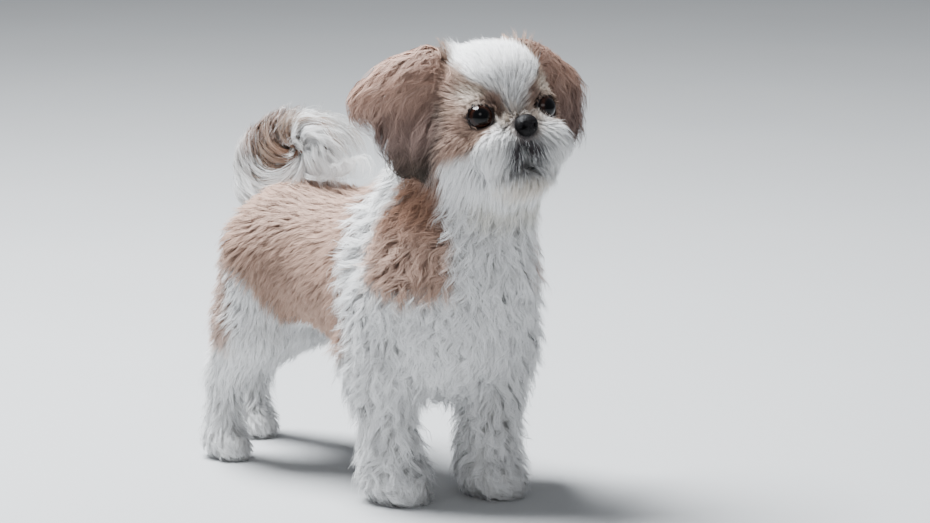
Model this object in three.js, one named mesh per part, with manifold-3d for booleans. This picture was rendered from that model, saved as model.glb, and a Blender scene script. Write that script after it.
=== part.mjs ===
// Shih tzu, standing, life size. Millimetres: +X is the way the chest faces,
// +Y is the dog's left, +Z is up; the ground is z = 0 and the origin is the
// middle of the dog's bounding box, on the ground.
//
// The solids follow the outside of the coat. The whole dog is one smooth body
// made of ellipsoids and tapered limbs flowing into each other, which is then
// parted with thin flat cuts into head, neck, trunk, legs and paws. The ears
// and the tail are laid against it, and the eyes and the nose sit in sockets.
import * as THREE from 'three'
import Module from 'manifold-3d'

const wasm = await Module()
wasm.setup()

// ---------------------------------------------------------------- sizes
const GAP = 0.3                 // clearance between neighbouring parts
const SHIFT = [-26.8, -13.3, 0]      // moves the modelling frame to the middle of the footprint
const CELL_TRUNK = 18.5         // facet sizes
const CELL_LEG = 14
const CELL_PAW = 11.5
const CELL_HEAD = 11.8          // head and neck
const CELL_EAR = 11.1
const CELL_TAIL = 12.5

// head: its own frame, turned to the dog's right, lifted and slightly rolled
const HEAD_AT = [173, 1, 339]
const HEAD_YAW = -15, HEAD_PITCH = 12, HEAD_ROLL = 3
const CRANIUM = { c: [-8, 0, 10], r: [58, 58, 52] }
const FOREHEAD = { c: [14, 0, 30], r: [36, 44, 30] }
const CHEEK = { c: [2, 34, -26], r: [38, 32, 36] }
const MOUSTACHE = { c: [46, 24, -30], r: [25, 26, 26] }
const BRIDGE = { c: [38, 0, -14], r: [27, 22, 18] }
const CHIN = { c: [32, 0, -56], r: [30, 34, 20] }
const THROAT = { c: [0, 0, -52], r: [40, 46, 26] }
const NOSE = { c: [61, 0, -12], r: [8, 10.5, 9.5] }
const ORBIT = { c: [27, 31, 2], r: [22, 22, 22] }     // flesh round the eyes
const EYE = { c: [38.5, 30.6, 2], r: 12.2 }

// ears: a broad upper flap, a narrower hanging end and a root on the crown
const EAR_R = { flap: [-28, -78, 36], flapR: [34, 15, 17], flapTilt: 24, end: [-22, -66, -7], endR: [25, 13, 35], turn: 63, root: [[-10, -42, 48], [-22, -60, 40]] }
const EAR_L = { flap: [-25, 85, 18], flapR: [32, 15, 24], flapTilt: 16, end: [-17, 81, -3], endR: [22.5, 13, 31], turn: -63, root: [[-8, 44, 44], [-18, 64, 36]] }

// trunk and neck
const CHEST = { c: [110, 0, 172], r: [78, 80, 88] }
const BREAST = { c: [140, 0, 192], r: [60, 72, 82] }
const BARREL = { a: [58, 0, 185], b: [-46, 0, 200], ra: 77, rb: 60 }
const RUMP = { c: [-57, 0, 194], r: [54, 60, 59] }
const NECK = { a: [108, 0, 222], b: [150, 0, 312], ra: 68, rb: 56 }
const NECK_FRONT = { a: [150, 0, 225], b: [180, 2, 292], ra: 58, rb: 44 }

// legs: shoulder or hip, elbow or knee, wrist or hock, and the foot
const LEGS = {
  foreleg_right: { joints: [[114, -46, 185], [95, -53, 130], [99, -44, 50], [100, -42, 18]], radii: [[49, 39], [37, 28], [28, 26]], foot: [106, -42, 16], footR: [32, 26, 20], blend: 10 },
  foreleg_left: { joints: [[125, 48, 185], [118, 60, 132], [137, 38, 50], [141, 34, 18]], radii: [[50, 46], [43, 30], [29, 26]], foot: [148, 33, 16], footR: [32, 27, 20], blend: 10 },
  hindleg_right: { joints: [[-62, -31, 194], [-80, -41, 136], [-120, -40, 78], [-128, -39, 20]], radii: [[54, 40], [36, 23], [21, 18]], foot: [-121, -39, 15], footR: [26, 20, 18], blend: 8 },
  hindleg_left: { joints: [[-66, 31, 194], [-90, 41, 138], [-166, 40, 78], [-178, 39, 20]], radii: [[54, 40], [36, 22], [20, 18]], foot: [-171, 39, 15], footR: [26, 20, 18], blend: 8 },
}

// tail: carried up from the rump and curled forward over the back
const TAIL_CURL = [[-98, 0, 228, 18], [-118, 0, 246, 21], [-110, 0, 275, 24], [-80, 0, 294, 26], [-48, 0, 295, 26], [-16, 0, 290, 26]]
const TAIL_PLUME = { a: [-92, 0, 244], b: [-20, 0, 270], ra: 22, rb: 20 }
const TAIL_TRESS = { a: [-40, 0, 266], b: [16, 0, 268], ra: 18, rb: 13 }

// cuts
const HEAD_CUT = { at: [158, 0, 292], tip: 18 }      // plane between head and neck, tipped nose-down about Y
const NECK_CUT = { at: [126, 0, 238], tip: 20 }      // plane between neck and trunk
const LEG_ROOF_FORE = { ridge: 88, slope: 0.62, x0: 20, x1: 260 }   // legs lie under a roof over the midline
const LEG_ROOF_HIND = { ridge: 118, slope: 0.55, x0: -260, x1: -8 }
const PAW_TOP_FORE = 38, PAW_TOP_HIND = 34

// ---------------------------------------------------------------- fields
const rad = d => d * Math.PI / 180
function rot (yaw, pitch, roll) {
  const y = rad(yaw), p = rad(pitch), r = rad(roll), c = Math.cos, s = Math.sin
  const A = [[c(y), -s(y), 0], [s(y), c(y), 0], [0, 0, 1]]
  const B = [[c(p), 0, -s(p)], [0, 1, 0], [s(p), 0, c(p)]]
  const C = [[1, 0, 0], [0, c(r), -s(r)], [0, s(r), c(r)]]
  const mul = (M, N) => M.map(row => [0, 1, 2].map(j => row[0] * N[0][j] + row[1] * N[1][j] + row[2] * N[2][j]))
  return mul(mul(A, B), C)
}
// coordinates of p in a frame whose axes are the columns of R, standing at c
const toFrame = (p, c, R) => {
  const x = p[0] - c[0], y = p[1] - c[1], z = p[2] - c[2]
  return [0, 1, 2].map(j => x * R[0][j] + y * R[1][j] + z * R[2][j])
}
const fromFrame = (q, c, R) => [0, 1, 2].map(i => c[i] + R[i][0] * q[0] + R[i][1] * q[1] + R[i][2] * q[2])
// smooth union of two distances, blended over k
function smin (a, b, k) {
  const h = Math.min(1, Math.max(0, 0.5 + 0.5 * (b - a) / k))
  return b * (1 - h) + a * h - k * h * (1 - h)
}
function ellipsoid (p, c, r, R) {
  const q = R ? toFrame(p, c, R) : [p[0] - c[0], p[1] - c[1], p[2] - c[2]]
  const a0 = q[0] / r[0], a1 = q[1] / r[1], a2 = q[2] / r[2]
  const k0 = Math.hypot(a0, a1, a2), k1 = Math.hypot(a0 / r[0], a1 / r[1], a2 / r[2])
  return k0 * (k0 - 1) / Math.max(k1, 1e-9)
}
function limb (p, a, b, ra, rb) {
  const d = [b[0] - a[0], b[1] - a[1], b[2] - a[2]], e = [p[0] - a[0], p[1] - a[1], p[2] - a[2]]
  const t = Math.min(1, Math.max(0, (e[0] * d[0] + e[1] * d[1] + e[2] * d[2]) / (d[0] ** 2 + d[1] ** 2 + d[2] ** 2)))
  return Math.hypot(e[0] - t * d[0], e[1] - t * d[1], e[2] - t * d[2]) - (ra + (rb - ra) * t)
}

const HEAD_R = rot(HEAD_YAW, HEAD_PITCH, HEAD_ROLL)
function headField (p) {
  const q = toFrame(p, HEAD_AT, HEAD_R)
  let d = ellipsoid(q, CRANIUM.c, CRANIUM.r)
  d = smin(d, ellipsoid(q, FOREHEAD.c, FOREHEAD.r), 18)
  for (const s of [-1, 1]) d = smin(d, ellipsoid(q, [CHEEK.c[0], s * CHEEK.c[1], CHEEK.c[2]], CHEEK.r), 18)
  for (const s of [-1, 1]) d = smin(d, ellipsoid(q, [MOUSTACHE.c[0], s * MOUSTACHE.c[1], MOUSTACHE.c[2]], MOUSTACHE.r), 12)
  for (const s of [-1, 1]) d = smin(d, ellipsoid(q, [ORBIT.c[0], s * ORBIT.c[1], ORBIT.c[2]], ORBIT.r), 10)
  d = smin(d, ellipsoid(q, BRIDGE.c, BRIDGE.r), 10)
  d = smin(d, ellipsoid(q, CHIN.c, CHIN.r), 14)
  d = smin(d, ellipsoid(q, THROAT.c, THROAT.r), 20)
  return d
}
const EAR_FRAMES = new Map([EAR_R, EAR_L].map(e => [e, [rot(e.turn, e.flapTilt, 0), rot(e.turn, 0, 0)]]))
function earField (p, e) {
  const q = toFrame(p, HEAD_AT, HEAD_R), [Rf, Re] = EAR_FRAMES.get(e)
  let d = ellipsoid(q, e.flap, e.flapR, Rf)
  d = smin(d, ellipsoid(q, e.end, e.endR, Re), 12)
  return smin(d, limb(q, e.root[0], e.root[1], 20, 20), 14)
}
function legField (p, g) {
  const [a, b, c, e] = g.joints
  let d = limb(p, a, b, ...g.radii[0])
  d = smin(d, limb(p, b, c, ...g.radii[1]), 17)
  d = smin(d, limb(p, c, e, ...g.radii[2]), g.blend)
  return smin(d, ellipsoid(p, g.foot, g.footR), g.blend)
}
function bodyField (p) {
  let d = ellipsoid(p, CHEST.c, CHEST.r)
  d = smin(d, ellipsoid(p, BREAST.c, BREAST.r), 20)
  d = smin(d, limb(p, BARREL.a, BARREL.b, BARREL.ra, BARREL.rb), 30)
  d = smin(d, ellipsoid(p, RUMP.c, RUMP.r), 30)
  const n = smin(limb(p, NECK.a, NECK.b, NECK.ra, NECK.rb), limb(p, NECK_FRONT.a, NECK_FRONT.b, NECK_FRONT.ra, NECK_FRONT.rb), 20)
  d = smin(d, n, 28)
  for (const g of Object.values(LEGS)) d = smin(d, legField(p, g), 16)
  return smin(d, headField(p), 14)
}
function tailField (p) {
  let d = 1e9
  for (let i = 0; i + 1 < TAIL_CURL.length; i++) {
    const a = TAIL_CURL[i], b = TAIL_CURL[i + 1]
    const e = limb(p, a, b, a[3], b[3])
    d = i ? smin(d, e, 6) : e
  }
  d = smin(d, limb(p, TAIL_PLUME.a, TAIL_PLUME.b, TAIL_PLUME.ra, TAIL_PLUME.rb), 12)
  return smin(d, limb(p, TAIL_TRESS.a, TAIL_TRESS.b, TAIL_TRESS.ra, TAIL_TRESS.rb), 12)
}

// ---------------------------------------------------------------- meshing
// closed faceted surface f = 0 inside the box lo..hi: one vertex in each cell
// the surface crosses, drawn onto the surface along the field's slope, and
// then moved out by `grow`
function solidOf (field, lo, hi, cell, grow = 0) {
  // kept inside the box, so that the surface always closes
  const f = p => Math.max(field(p), ...[0, 1, 2].flatMap(i => [lo[i] + 1.4 * cell - p[i], p[i] - (hi[i] - 1.4 * cell)]))
  const n = [0, 1, 2].map(i => Math.ceil((hi[i] - lo[i]) / cell) + 1)
  const at = (i, j, k) => (i * n[1] + j) * n[2] + k
  const val = new Float64Array(n[0] * n[1] * n[2])
  for (let i = 0; i < n[0]; i++) for (let j = 0; j < n[1]; j++) for (let k = 0; k < n[2]; k++) {
    val[at(i, j, k)] = f([lo[0] + i * cell, lo[1] + j * cell, lo[2] + k * cell])
  }
  const id = new Int32Array(val.length).fill(-1), pts = [], tris = []
  for (let i = 0; i < n[0] - 1; i++) for (let j = 0; j < n[1] - 1; j++) for (let k = 0; k < n[2] - 1; k++) {
    let cnt = 0
    const s = [0, 0, 0]
    for (let c = 0; c < 8; c++) {
      const o = [c & 1, (c >> 1) & 1, (c >> 2) & 1]
      const a = val[at(i + o[0], j + o[1], k + o[2])]
      for (let d = 0; d < 3; d++) {
        if (o[d]) continue
        const e = o.slice(); e[d] = 1
        const b = val[at(i + e[0], j + e[1], k + e[2])]
        if ((a < 0) === (b < 0)) continue
        cnt++
        const t = a / (a - b)
        for (let x = 0; x < 3; x++) s[x] += x === d ? t : o[x]
      }
    }
    if (!cnt) continue
    id[at(i, j, k)] = pts.length
    pts.push([lo[0] + cell * (i + s[0] / cnt), lo[1] + cell * (j + s[1] / cnt), lo[2] + cell * (k + s[2] / cnt)])
  }
  for (let i = 1; i < n[0] - 1; i++) for (let j = 1; j < n[1] - 1; j++) for (let k = 1; k < n[2] - 1; k++) {
    const g = [i, j, k], a = val[at(i, j, k)] < 0
    for (let d = 0; d < 3; d++) {
      const h = g.slice(); h[d]++
      if (a === (val[at(...h)] < 0)) continue
      const u = (d + 1) % 3, v = (d + 2) % 3
      const cellId = (du, dv) => { const m = g.slice(); m[u] -= du; m[v] -= dv; return id[at(...m)] }
      let q = [cellId(1, 1), cellId(0, 1), cellId(0, 0), cellId(1, 0)]
      if (!a) q = q.reverse()
      tris.push([q[0], q[1], q[2]], [q[0], q[2], q[3]])
    }
  }
  const e = 0.5
  for (const p of pts) {
    for (let it = 0; it < 3; it++) {
      const v = f(p)
      const g = [0, 1, 2].map(x => { const a = p.slice(), b = p.slice(); a[x] += e; b[x] -= e; return (f(a) - f(b)) / (2 * e) })
      const m = g[0] ** 2 + g[1] ** 2 + g[2] ** 2
      const t = Math.max(-0.5 * cell, Math.min(0.5 * cell, v / Math.max(m, 0.2)))
      for (let x = 0; x < 3; x++) p[x] -= t * g[x]
      if (it === 2 && grow) for (let x = 0; x < 3; x++) p[x] += grow * g[x] / Math.sqrt(m)
    }
  }
  return manifoldOf(pts.flat(), tris.flat())
}
function manifoldOf (vertices, indices) {
  return new wasm.Manifold(new wasm.Mesh({
    numProp: 3, vertProperties: Float32Array.from(vertices), triVerts: Uint32Array.from(indices)
  }))
}
// a three.js geometry as a closed solid: equal corners are made one
function solidFromGeometry (geometry, matrix) {
  const g = geometry.clone()
  if (matrix) g.applyMatrix4(matrix)
  const pos = g.attributes.position, seen = new Map(), map = [], verts = []
  for (let i = 0; i < pos.count; i++) {
    const key = [pos.getX(i), pos.getY(i), pos.getZ(i)].map(v => Math.round(v * 1e4)).join()
    if (!seen.has(key)) { seen.set(key, verts.length / 3); verts.push(pos.getX(i), pos.getY(i), pos.getZ(i)) }
    map.push(seen.get(key))
  }
  const idx = g.index ? Array.from(g.index.array) : Array.from({ length: pos.count }, (_, i) => i)
  const tris = []
  for (let i = 0; i < idx.length; i += 3) {
    const t = [map[idx[i]], map[idx[i + 1]], map[idx[i + 2]]]
    if (t[0] !== t[1] && t[1] !== t[2] && t[0] !== t[2]) tris.push(...t)
  }
  return manifoldOf(verts, tris)
}
const box = (x0, x1, y0, y1, z0, z1) => solidFromGeometry(new THREE.BoxGeometry(x1 - x0, y1 - y0, z1 - z0),
  new THREE.Matrix4().makeTranslation((x0 + x1) / 2, (y0 + y1) / 2, (z0 + z1) / 2))
// everything above the plane through `at` tipped about Y (its front edge down), moved up by `off`
function above ({ at, tip }, off) {
  const m = new THREE.Matrix4().makeTranslation(...at)
    .multiply(new THREE.Matrix4().makeRotationY(rad(tip)))
    .multiply(new THREE.Matrix4().makeTranslation(0, 0, 400 + off))
  return solidFromGeometry(new THREE.BoxGeometry(900, 600, 800), m)
}
const below = (cut, off) => {
  const m = new THREE.Matrix4().makeTranslation(...cut.at)
    .multiply(new THREE.Matrix4().makeRotationY(rad(cut.tip)))
    .multiply(new THREE.Matrix4().makeTranslation(0, 0, -400 - off))
  return solidFromGeometry(new THREE.BoxGeometry(900, 600, 800), m)
}
// the space of one pair of legs on one side: under a roof with its ridge over
// the midline, grown by `grow` for the space kept free in the trunk
function legSpace (roof, side, grow) {
  const s = new THREE.Shape(), w = 160, g = grow * 1.2
  const y0 = grow ? -side * w : side * GAP / 2
  s.moveTo(y0, -40)
  if (grow) {
    s.lineTo(y0, roof.ridge + roof.slope * w + g); s.lineTo(0, roof.ridge + g)
  } else s.lineTo(y0, roof.ridge)
  s.lineTo(side * w, roof.ridge + roof.slope * w + g)
  s.lineTo(side * w, -40)
  s.closePath()
  // the shape is drawn in (y, z) and pushed along x
  const geo = new THREE.ExtrudeGeometry(s, { depth: roof.x1 - roof.x0 + 2 * grow, bevelEnabled: false })
  const m = new THREE.Matrix4().makeBasis(new THREE.Vector3(0, 1, 0), new THREE.Vector3(0, 0, 1), new THREE.Vector3(1, 0, 0))
  m.premultiply(new THREE.Matrix4().makeTranslation(roof.x0 - grow, 0, 0))
  return solidFromGeometry(geo, m)
}

// ---------------------------------------------------------------- solids
const TRUNK_LO = [-250, -140, 40], TRUNK_HI = [240, 146, 330]
const HEAD_LO = [0, -112, 180], HEAD_HI = [266, 112, 432]
const fine = solidOf(bodyField, HEAD_LO, HEAD_HI, CELL_HEAD)
const ground = box(-400, 400, -300, 300, 0, 600)

const headAt = q => fromFrame(q, HEAD_AT, HEAD_R)
const headFrame = new THREE.Matrix4().set(
  HEAD_R[0][0], HEAD_R[0][1], HEAD_R[0][2], HEAD_AT[0],
  HEAD_R[1][0], HEAD_R[1][1], HEAD_R[1][2], HEAD_AT[1],
  HEAD_R[2][0], HEAD_R[2][1], HEAD_R[2][2], HEAD_AT[2], 0, 0, 0, 1)
function ball (c, r, grow, w, h) {
  const m = headFrame.clone()
    .multiply(new THREE.Matrix4().makeTranslation(...c))
    .multiply(new THREE.Matrix4().makeScale(r[0] + grow, r[1] + grow, r[2] + grow))
    .multiply(new THREE.Matrix4().makeRotationZ(-Math.PI / 2))
  return solidFromGeometry(new THREE.SphereGeometry(1, w, h), m)
}
const eyeC = s => [EYE.c[0], s * EYE.c[1], EYE.c[2]]
const eyeR3 = [EYE.r, EYE.r, EYE.r]
const eyeRight = ball(eyeC(-1), eyeR3, 0, 12, 8)
const eyeLeft = ball(eyeC(1), eyeR3, 0, 12, 8)
const nose = ball(NOSE.c, NOSE.r, 0, 12, 8)
let head = fine.intersect(above(HEAD_CUT, GAP / 2))
for (const s of [-1, 1]) head = head.subtract(ball(eyeC(s), eyeR3, GAP + 0.2, 12, 8))
head = head.subtract(ball(NOSE.c, NOSE.r, GAP + 0.2, 12, 8))
const biggest = m => m.decompose().sort((a, b) => b.volume() - a.volume())[0]
head = biggest(head)

// ears and tail stand a hair's breadth off the body
const grownFine = solidOf(bodyField, HEAD_LO, HEAD_HI, CELL_HEAD, 1.3 * GAP)
const earRight = biggest(solidOf(p => earField(p, EAR_R), [70, -150, 230], [230, 0, 430], CELL_EAR).subtract(grownFine))
const earLeft = biggest(solidOf(p => earField(p, EAR_L), [70, 0, 230], [260, 150, 430], CELL_EAR).subtract(grownFine))
const tail = biggest(solidOf(tailField, [-160, -50, 200], [50, 50, 340], CELL_TAIL).subtract(solidOf(bodyField, TRUNK_LO, TRUNK_HI, CELL_TRUNK, 1.3 * GAP)))

const neck = biggest(fine.intersect(below(HEAD_CUT, GAP / 2)).intersect(above(NECK_CUT, GAP / 2)))
let trunk = solidOf(bodyField, TRUNK_LO, TRUNK_HI, CELL_TRUNK).intersect(below(NECK_CUT, GAP / 2)).intersect(ground)
for (const roof of [LEG_ROOF_FORE, LEG_ROOF_HIND]) trunk = trunk.subtract(legSpace(roof, 1, GAP))
trunk = biggest(trunk)

const legs = {}
for (const [name, g] of Object.entries(LEGS)) {
  const side = name.endsWith('right') ? -1 : 1
  const fore = name.startsWith('fore')
  const space = legSpace(fore ? LEG_ROOF_FORE : LEG_ROOF_HIND, side, 0)
  const top = fore ? PAW_TOP_FORE : PAW_TOP_HIND
  const whole = solidOf(bodyField, [-240, -130, -26], [240, 132, 220], CELL_LEG).intersect(space).intersect(ground)
  legs[name] = biggest(whole.intersect(box(-400, 400, -300, 300, top + GAP / 2, 600)))
  const [fx, fy] = g.foot
  const shell = solidOf(bodyField, [fx - 56, fy - 48, -24], [fx + 56, fy + 48, 60], CELL_PAW)
  legs[name.replace('leg', 'paw')] = biggest(shell.intersect(box(fx - 50, fx + 50, side < 0 ? fy - 40 : GAP / 2, side < 0 ? -GAP / 2 : fy + 40, 0, top - GAP / 2)))
}

// ---------------------------------------------------------------- parts
const COAT_WHITE = [0xe9e4da, 0.9], COAT_TAN = [0xbd9379, 0.9]
const parts = [
  ['head', head, ...COAT_WHITE], ['neck', neck, ...COAT_WHITE], ['trunk', trunk, ...COAT_TAN],
  ['foreleg_right', legs.foreleg_right, ...COAT_WHITE], ['foreleg_left', legs.foreleg_left, ...COAT_WHITE],
  ['hindleg_right', legs.hindleg_right, ...COAT_WHITE], ['hindleg_left', legs.hindleg_left, ...COAT_WHITE],
  ['forepaw_right', legs.forepaw_right, ...COAT_WHITE], ['forepaw_left', legs.forepaw_left, ...COAT_WHITE],
  ['hindpaw_right', legs.hindpaw_right, ...COAT_WHITE], ['hindpaw_left', legs.hindpaw_left, ...COAT_WHITE],
  ['ear_right', earRight, 0x8d6a58, 0.9], ['ear_left', earLeft, 0x8d6a58, 0.9],
  ['tail', tail, ...COAT_WHITE],
  ['eye_right', eyeRight, 0x1c0f0a, 0.08], ['eye_left', eyeLeft, 0x1c0f0a, 0.08],
  ['nose', nose, 0x17151a, 0.45],
]
const model = new THREE.Group()
for (const [name, solid, color, roughness] of parts) {
  const m = solid.translate(SHIFT).getMesh()
  const n = m.numProp, v = new Float32Array(m.vertProperties.length / n * 3)
  for (let i = 0; i < v.length / 3; i++) for (let x = 0; x < 3; x++) v[3 * i + x] = m.vertProperties[n * i + x]
  const geometry = new THREE.BufferGeometry()
  geometry.setAttribute('position', new THREE.BufferAttribute(v, 3))
  geometry.setIndex(new THREE.BufferAttribute(Uint32Array.from(m.triVerts), 1))
  geometry.computeVertexNormals()
  const mesh = new THREE.Mesh(geometry, new THREE.MeshStandardMaterial({ color, roughness, metalness: 0 }))
  mesh.name = name
  model.add(mesh)
}
export default model
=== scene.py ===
import math

import bpy
import numpy as np
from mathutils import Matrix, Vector
from mathutils.kdtree import KDTree


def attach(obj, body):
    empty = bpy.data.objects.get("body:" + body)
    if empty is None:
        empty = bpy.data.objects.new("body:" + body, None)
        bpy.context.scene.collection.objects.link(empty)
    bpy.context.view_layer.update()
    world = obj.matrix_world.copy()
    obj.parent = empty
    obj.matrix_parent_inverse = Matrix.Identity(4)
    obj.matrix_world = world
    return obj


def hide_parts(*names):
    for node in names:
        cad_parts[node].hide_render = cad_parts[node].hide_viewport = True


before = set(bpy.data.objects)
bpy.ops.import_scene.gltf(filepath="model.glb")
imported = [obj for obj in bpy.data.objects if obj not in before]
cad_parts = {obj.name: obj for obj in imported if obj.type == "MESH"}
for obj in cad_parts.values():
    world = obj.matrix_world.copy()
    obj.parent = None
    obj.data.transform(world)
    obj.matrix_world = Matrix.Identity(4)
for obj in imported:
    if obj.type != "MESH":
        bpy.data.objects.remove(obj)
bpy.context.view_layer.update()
rng = np.random.default_rng(20)
F32 = np.float32

# ------------------------------------------------------------------ sizes
SHIFT = np.array([-26.8, -13.3, 0.0])
HEAD_AT = np.array([173.0, 1.0, 339.0])
HEAD_YAW, HEAD_PITCH, HEAD_ROLL = -15, 12, 3
CRANIUM = ((-8, 0, 10), (58, 58, 52))
FOREHEAD = ((14, 0, 30), (36, 44, 30))
CHEEK = ((2, 34, -26), (38, 32, 36))
MOUSTACHE = ((46, 24, -30), (25, 26, 26))
ORBIT = ((27, 31, 2), (22, 22, 22))
BRIDGE = ((38, 0, -14), (27, 22, 18))
CHIN = ((32, 0, -56), (30, 34, 20))
THROAT = ((0, 0, -52), (40, 46, 26))
NOSE = ((61, 0, -12), (8, 10.5, 9.5))
EYE = ((38.5, 30.6, 1), 12.2)
EAR_R = dict(flap=(-28, -78, 36), flapR=(34, 15, 17), tilt=24, end=(-22, -66, -7), endR=(25, 13, 35), turn=63, root=((-10, -42, 48), (-22, -60, 40)))
EAR_L = dict(flap=(-25, 85, 18), flapR=(32, 15, 24), tilt=16, end=(-17, 81, -3), endR=(22.5, 13, 31), turn=-63, root=((-8, 44, 44), (-18, 64, 36)))
CHEST = ((110, 0, 172), (78, 80, 88))
BREAST = ((140, 0, 192), (60, 72, 82))
BARREL = ((58, 0, 185), (-46, 0, 200), 77, 60)
RUMP = ((-57, 0, 194), (54, 60, 59))
NECK = ((108, 0, 222), (150, 0, 312), 68, 56)
NECK_FRONT = ((150, 0, 225), (180, 2, 292), 58, 44)
LEGS = {
    "fr": dict(j=((114, -46, 185), (95, -53, 130), (99, -44, 50), (100, -42, 18)), r=((49, 39), (37, 28), (28, 26)), foot=(106, -42, 16), footR=(32, 26, 20), k=10),
    "fl": dict(j=((125, 48, 185), (118, 60, 132), (137, 38, 50), (141, 34, 18)), r=((50, 46), (43, 30), (29, 26)), foot=(148, 33, 16), footR=(32, 27, 20), k=10),
    "hr": dict(j=((-62, -31, 194), (-80, -41, 136), (-120, -40, 78), (-128, -39, 20)), r=((54, 40), (36, 23), (21, 18)), foot=(-121, -39, 15), footR=(26, 20, 18), k=8),
    "hl": dict(j=((-66, 31, 194), (-90, 41, 138), (-166, 40, 78), (-178, 39, 20)), r=((54, 40), (36, 22), (20, 18)), foot=(-171, 39, 15), footR=(26, 20, 18), k=8),
}
TAIL_CURL = ((-98, 0, 228, 18), (-118, 0, 246, 21), (-110, 0, 275, 24), (-80, 0, 294, 26), (-48, 0, 295, 26), (-16, 0, 290, 26))
TAIL_PLUME = ((-92, 0, 244), (-20, 0, 270), 22, 20)
TAIL_TRESS = ((-40, 0, 266), (16, 0, 268), 18, 13)
TAIL_CORE = ((-88, 0, 226, 13), (-115, 0, 240, 12), (-125, 0, 262, 10), (-110, 0, 288, 9), (-84, 0, 300, 8), (-61, 0, 297, 7), (-55, 0, 286, 6))
WHIRL = (-51.0, 0.0, 287.0)      # where the tail's hair turns


# ------------------------------------------------------------------ fields
def rot(yaw, pitch, roll):
    y, p, r = map(math.radians, (yaw, pitch, roll))
    c, s = math.cos, math.sin
    a = np.array([[c(y), -s(y), 0], [s(y), c(y), 0], [0, 0, 1]])
    b = np.array([[c(p), 0, -s(p)], [0, 1, 0], [s(p), 0, c(p)]])
    d = np.array([[1, 0, 0], [0, c(r), -s(r)], [0, s(r), c(r)]])
    return a @ b @ d


HEAD_R = rot(HEAD_YAW, HEAD_PITCH, HEAD_ROLL)


def to_head(p):
    return ((p - HEAD_AT.astype(p.dtype)) @ HEAD_R.astype(p.dtype))


def from_head(q):
    return np.asarray(q, float) @ HEAD_R.T + HEAD_AT


def smin(a, b, k):
    h = np.clip(0.5 + 0.5 * (b - a) / k, 0, 1)
    return b * (1 - h) + a * h - k * h * (1 - h)


def ellipsoid(p, c, r, R=None):
    q = p - np.array(c, p.dtype)
    if R is not None:
        q = q @ R.astype(p.dtype)
    a = q / np.array(r, p.dtype)
    k0 = np.sqrt((a * a).sum(-1))
    a /= np.array(r, p.dtype)
    k1 = np.sqrt((a * a).sum(-1))
    return k0 * (k0 - 1) / np.maximum(k1, 1e-6)


def limb(p, a, b, ra, rb):
    a, b = np.array(a, p.dtype), np.array(b, p.dtype)
    d = b - a
    e = p - a
    t = np.clip(e @ d / (d @ d), 0, 1)
    e = e - t[..., None] * d
    return np.sqrt((e * e).sum(-1)) - (ra + (rb - ra) * t)


def mirrored(part, s):
    (x, y, z), r = part
    return (x, s * y, z), r


def head_field(p):
    q = to_head(p)
    d = ellipsoid(q, *CRANIUM)
    d = smin(d, ellipsoid(q, *FOREHEAD), 18)
    for s in (-1, 1):
        d = smin(d, ellipsoid(q, *mirrored(CHEEK, s)), 18)
    for s in (-1, 1):
        d = smin(d, ellipsoid(q, *mirrored(MOUSTACHE, s)), 12)
    for s in (-1, 1):
        d = smin(d, ellipsoid(q, *mirrored(ORBIT, s)), 10)
    d = smin(d, ellipsoid(q, *BRIDGE), 10)
    d = smin(d, ellipsoid(q, *CHIN), 14)
    return smin(d, ellipsoid(q, *THROAT), 20)


def ear_field(p, e):
    q = to_head(p)
    d = ellipsoid(q, e["flap"], e["flapR"], rot(e["turn"], e["tilt"], 0))
    d = smin(d, ellipsoid(q, e["end"], e["endR"], rot(e["turn"], 0, 0)), 12)
    return smin(d, limb(q, *e["root"], 20, 20), 14)


def leg_field(p, g):
    a, b, c, e = g["j"]
    d = limb(p, a, b, *g["r"][0])
    d = smin(d, limb(p, b, c, *g["r"][1]), 17)
    d = smin(d, limb(p, c, e, *g["r"][2]), g["k"])
    return smin(d, ellipsoid(p, g["foot"], g["footR"]), g["k"])


def trunk_field(p):
    d = ellipsoid(p, *CHEST)
    d = smin(d, ellipsoid(p, *BREAST), 20)
    d = smin(d, limb(p, *BARREL), 30)
    return smin(d, ellipsoid(p, *RUMP), 30)


def neck_field(p):
    return smin(limb(p, *NECK), limb(p, *NECK_FRONT), 20)


def chain(p, pts, k=6):
    d = None
    for a, b in zip(pts[:-1], pts[1:]):
        e = limb(p, a[:3], b[:3], a[3], b[3])
        d = e if d is None else smin(d, e, k)
    return d


def tail_field(p):
    d = chain(p, TAIL_CURL)
    d = smin(d, limb(p, *TAIL_PLUME), 12)
    return smin(d, limb(p, *TAIL_TRESS), 12)


def regions(p):
    """Distance of every region's own coat surface, and of the whole body's."""
    r = {"trunk": trunk_field(p), "neck": neck_field(p), "head": head_field(p)}
    for n, g in LEGS.items():
        r[n] = leg_field(p, g)
    d = smin(r["trunk"], r["neck"], 28)
    for n in LEGS:
        d = smin(d, r[n], 16)
    r["body"] = smin(d, r["head"], 14)
    return r


def step01(x, a, b):
    t = np.clip((x - a) / (b - a), 0, 1)
    return t * t * (3 - 2 * t)


def bump(x, c, w):
    return np.exp(-(((x - c) / w) ** 2))


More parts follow.
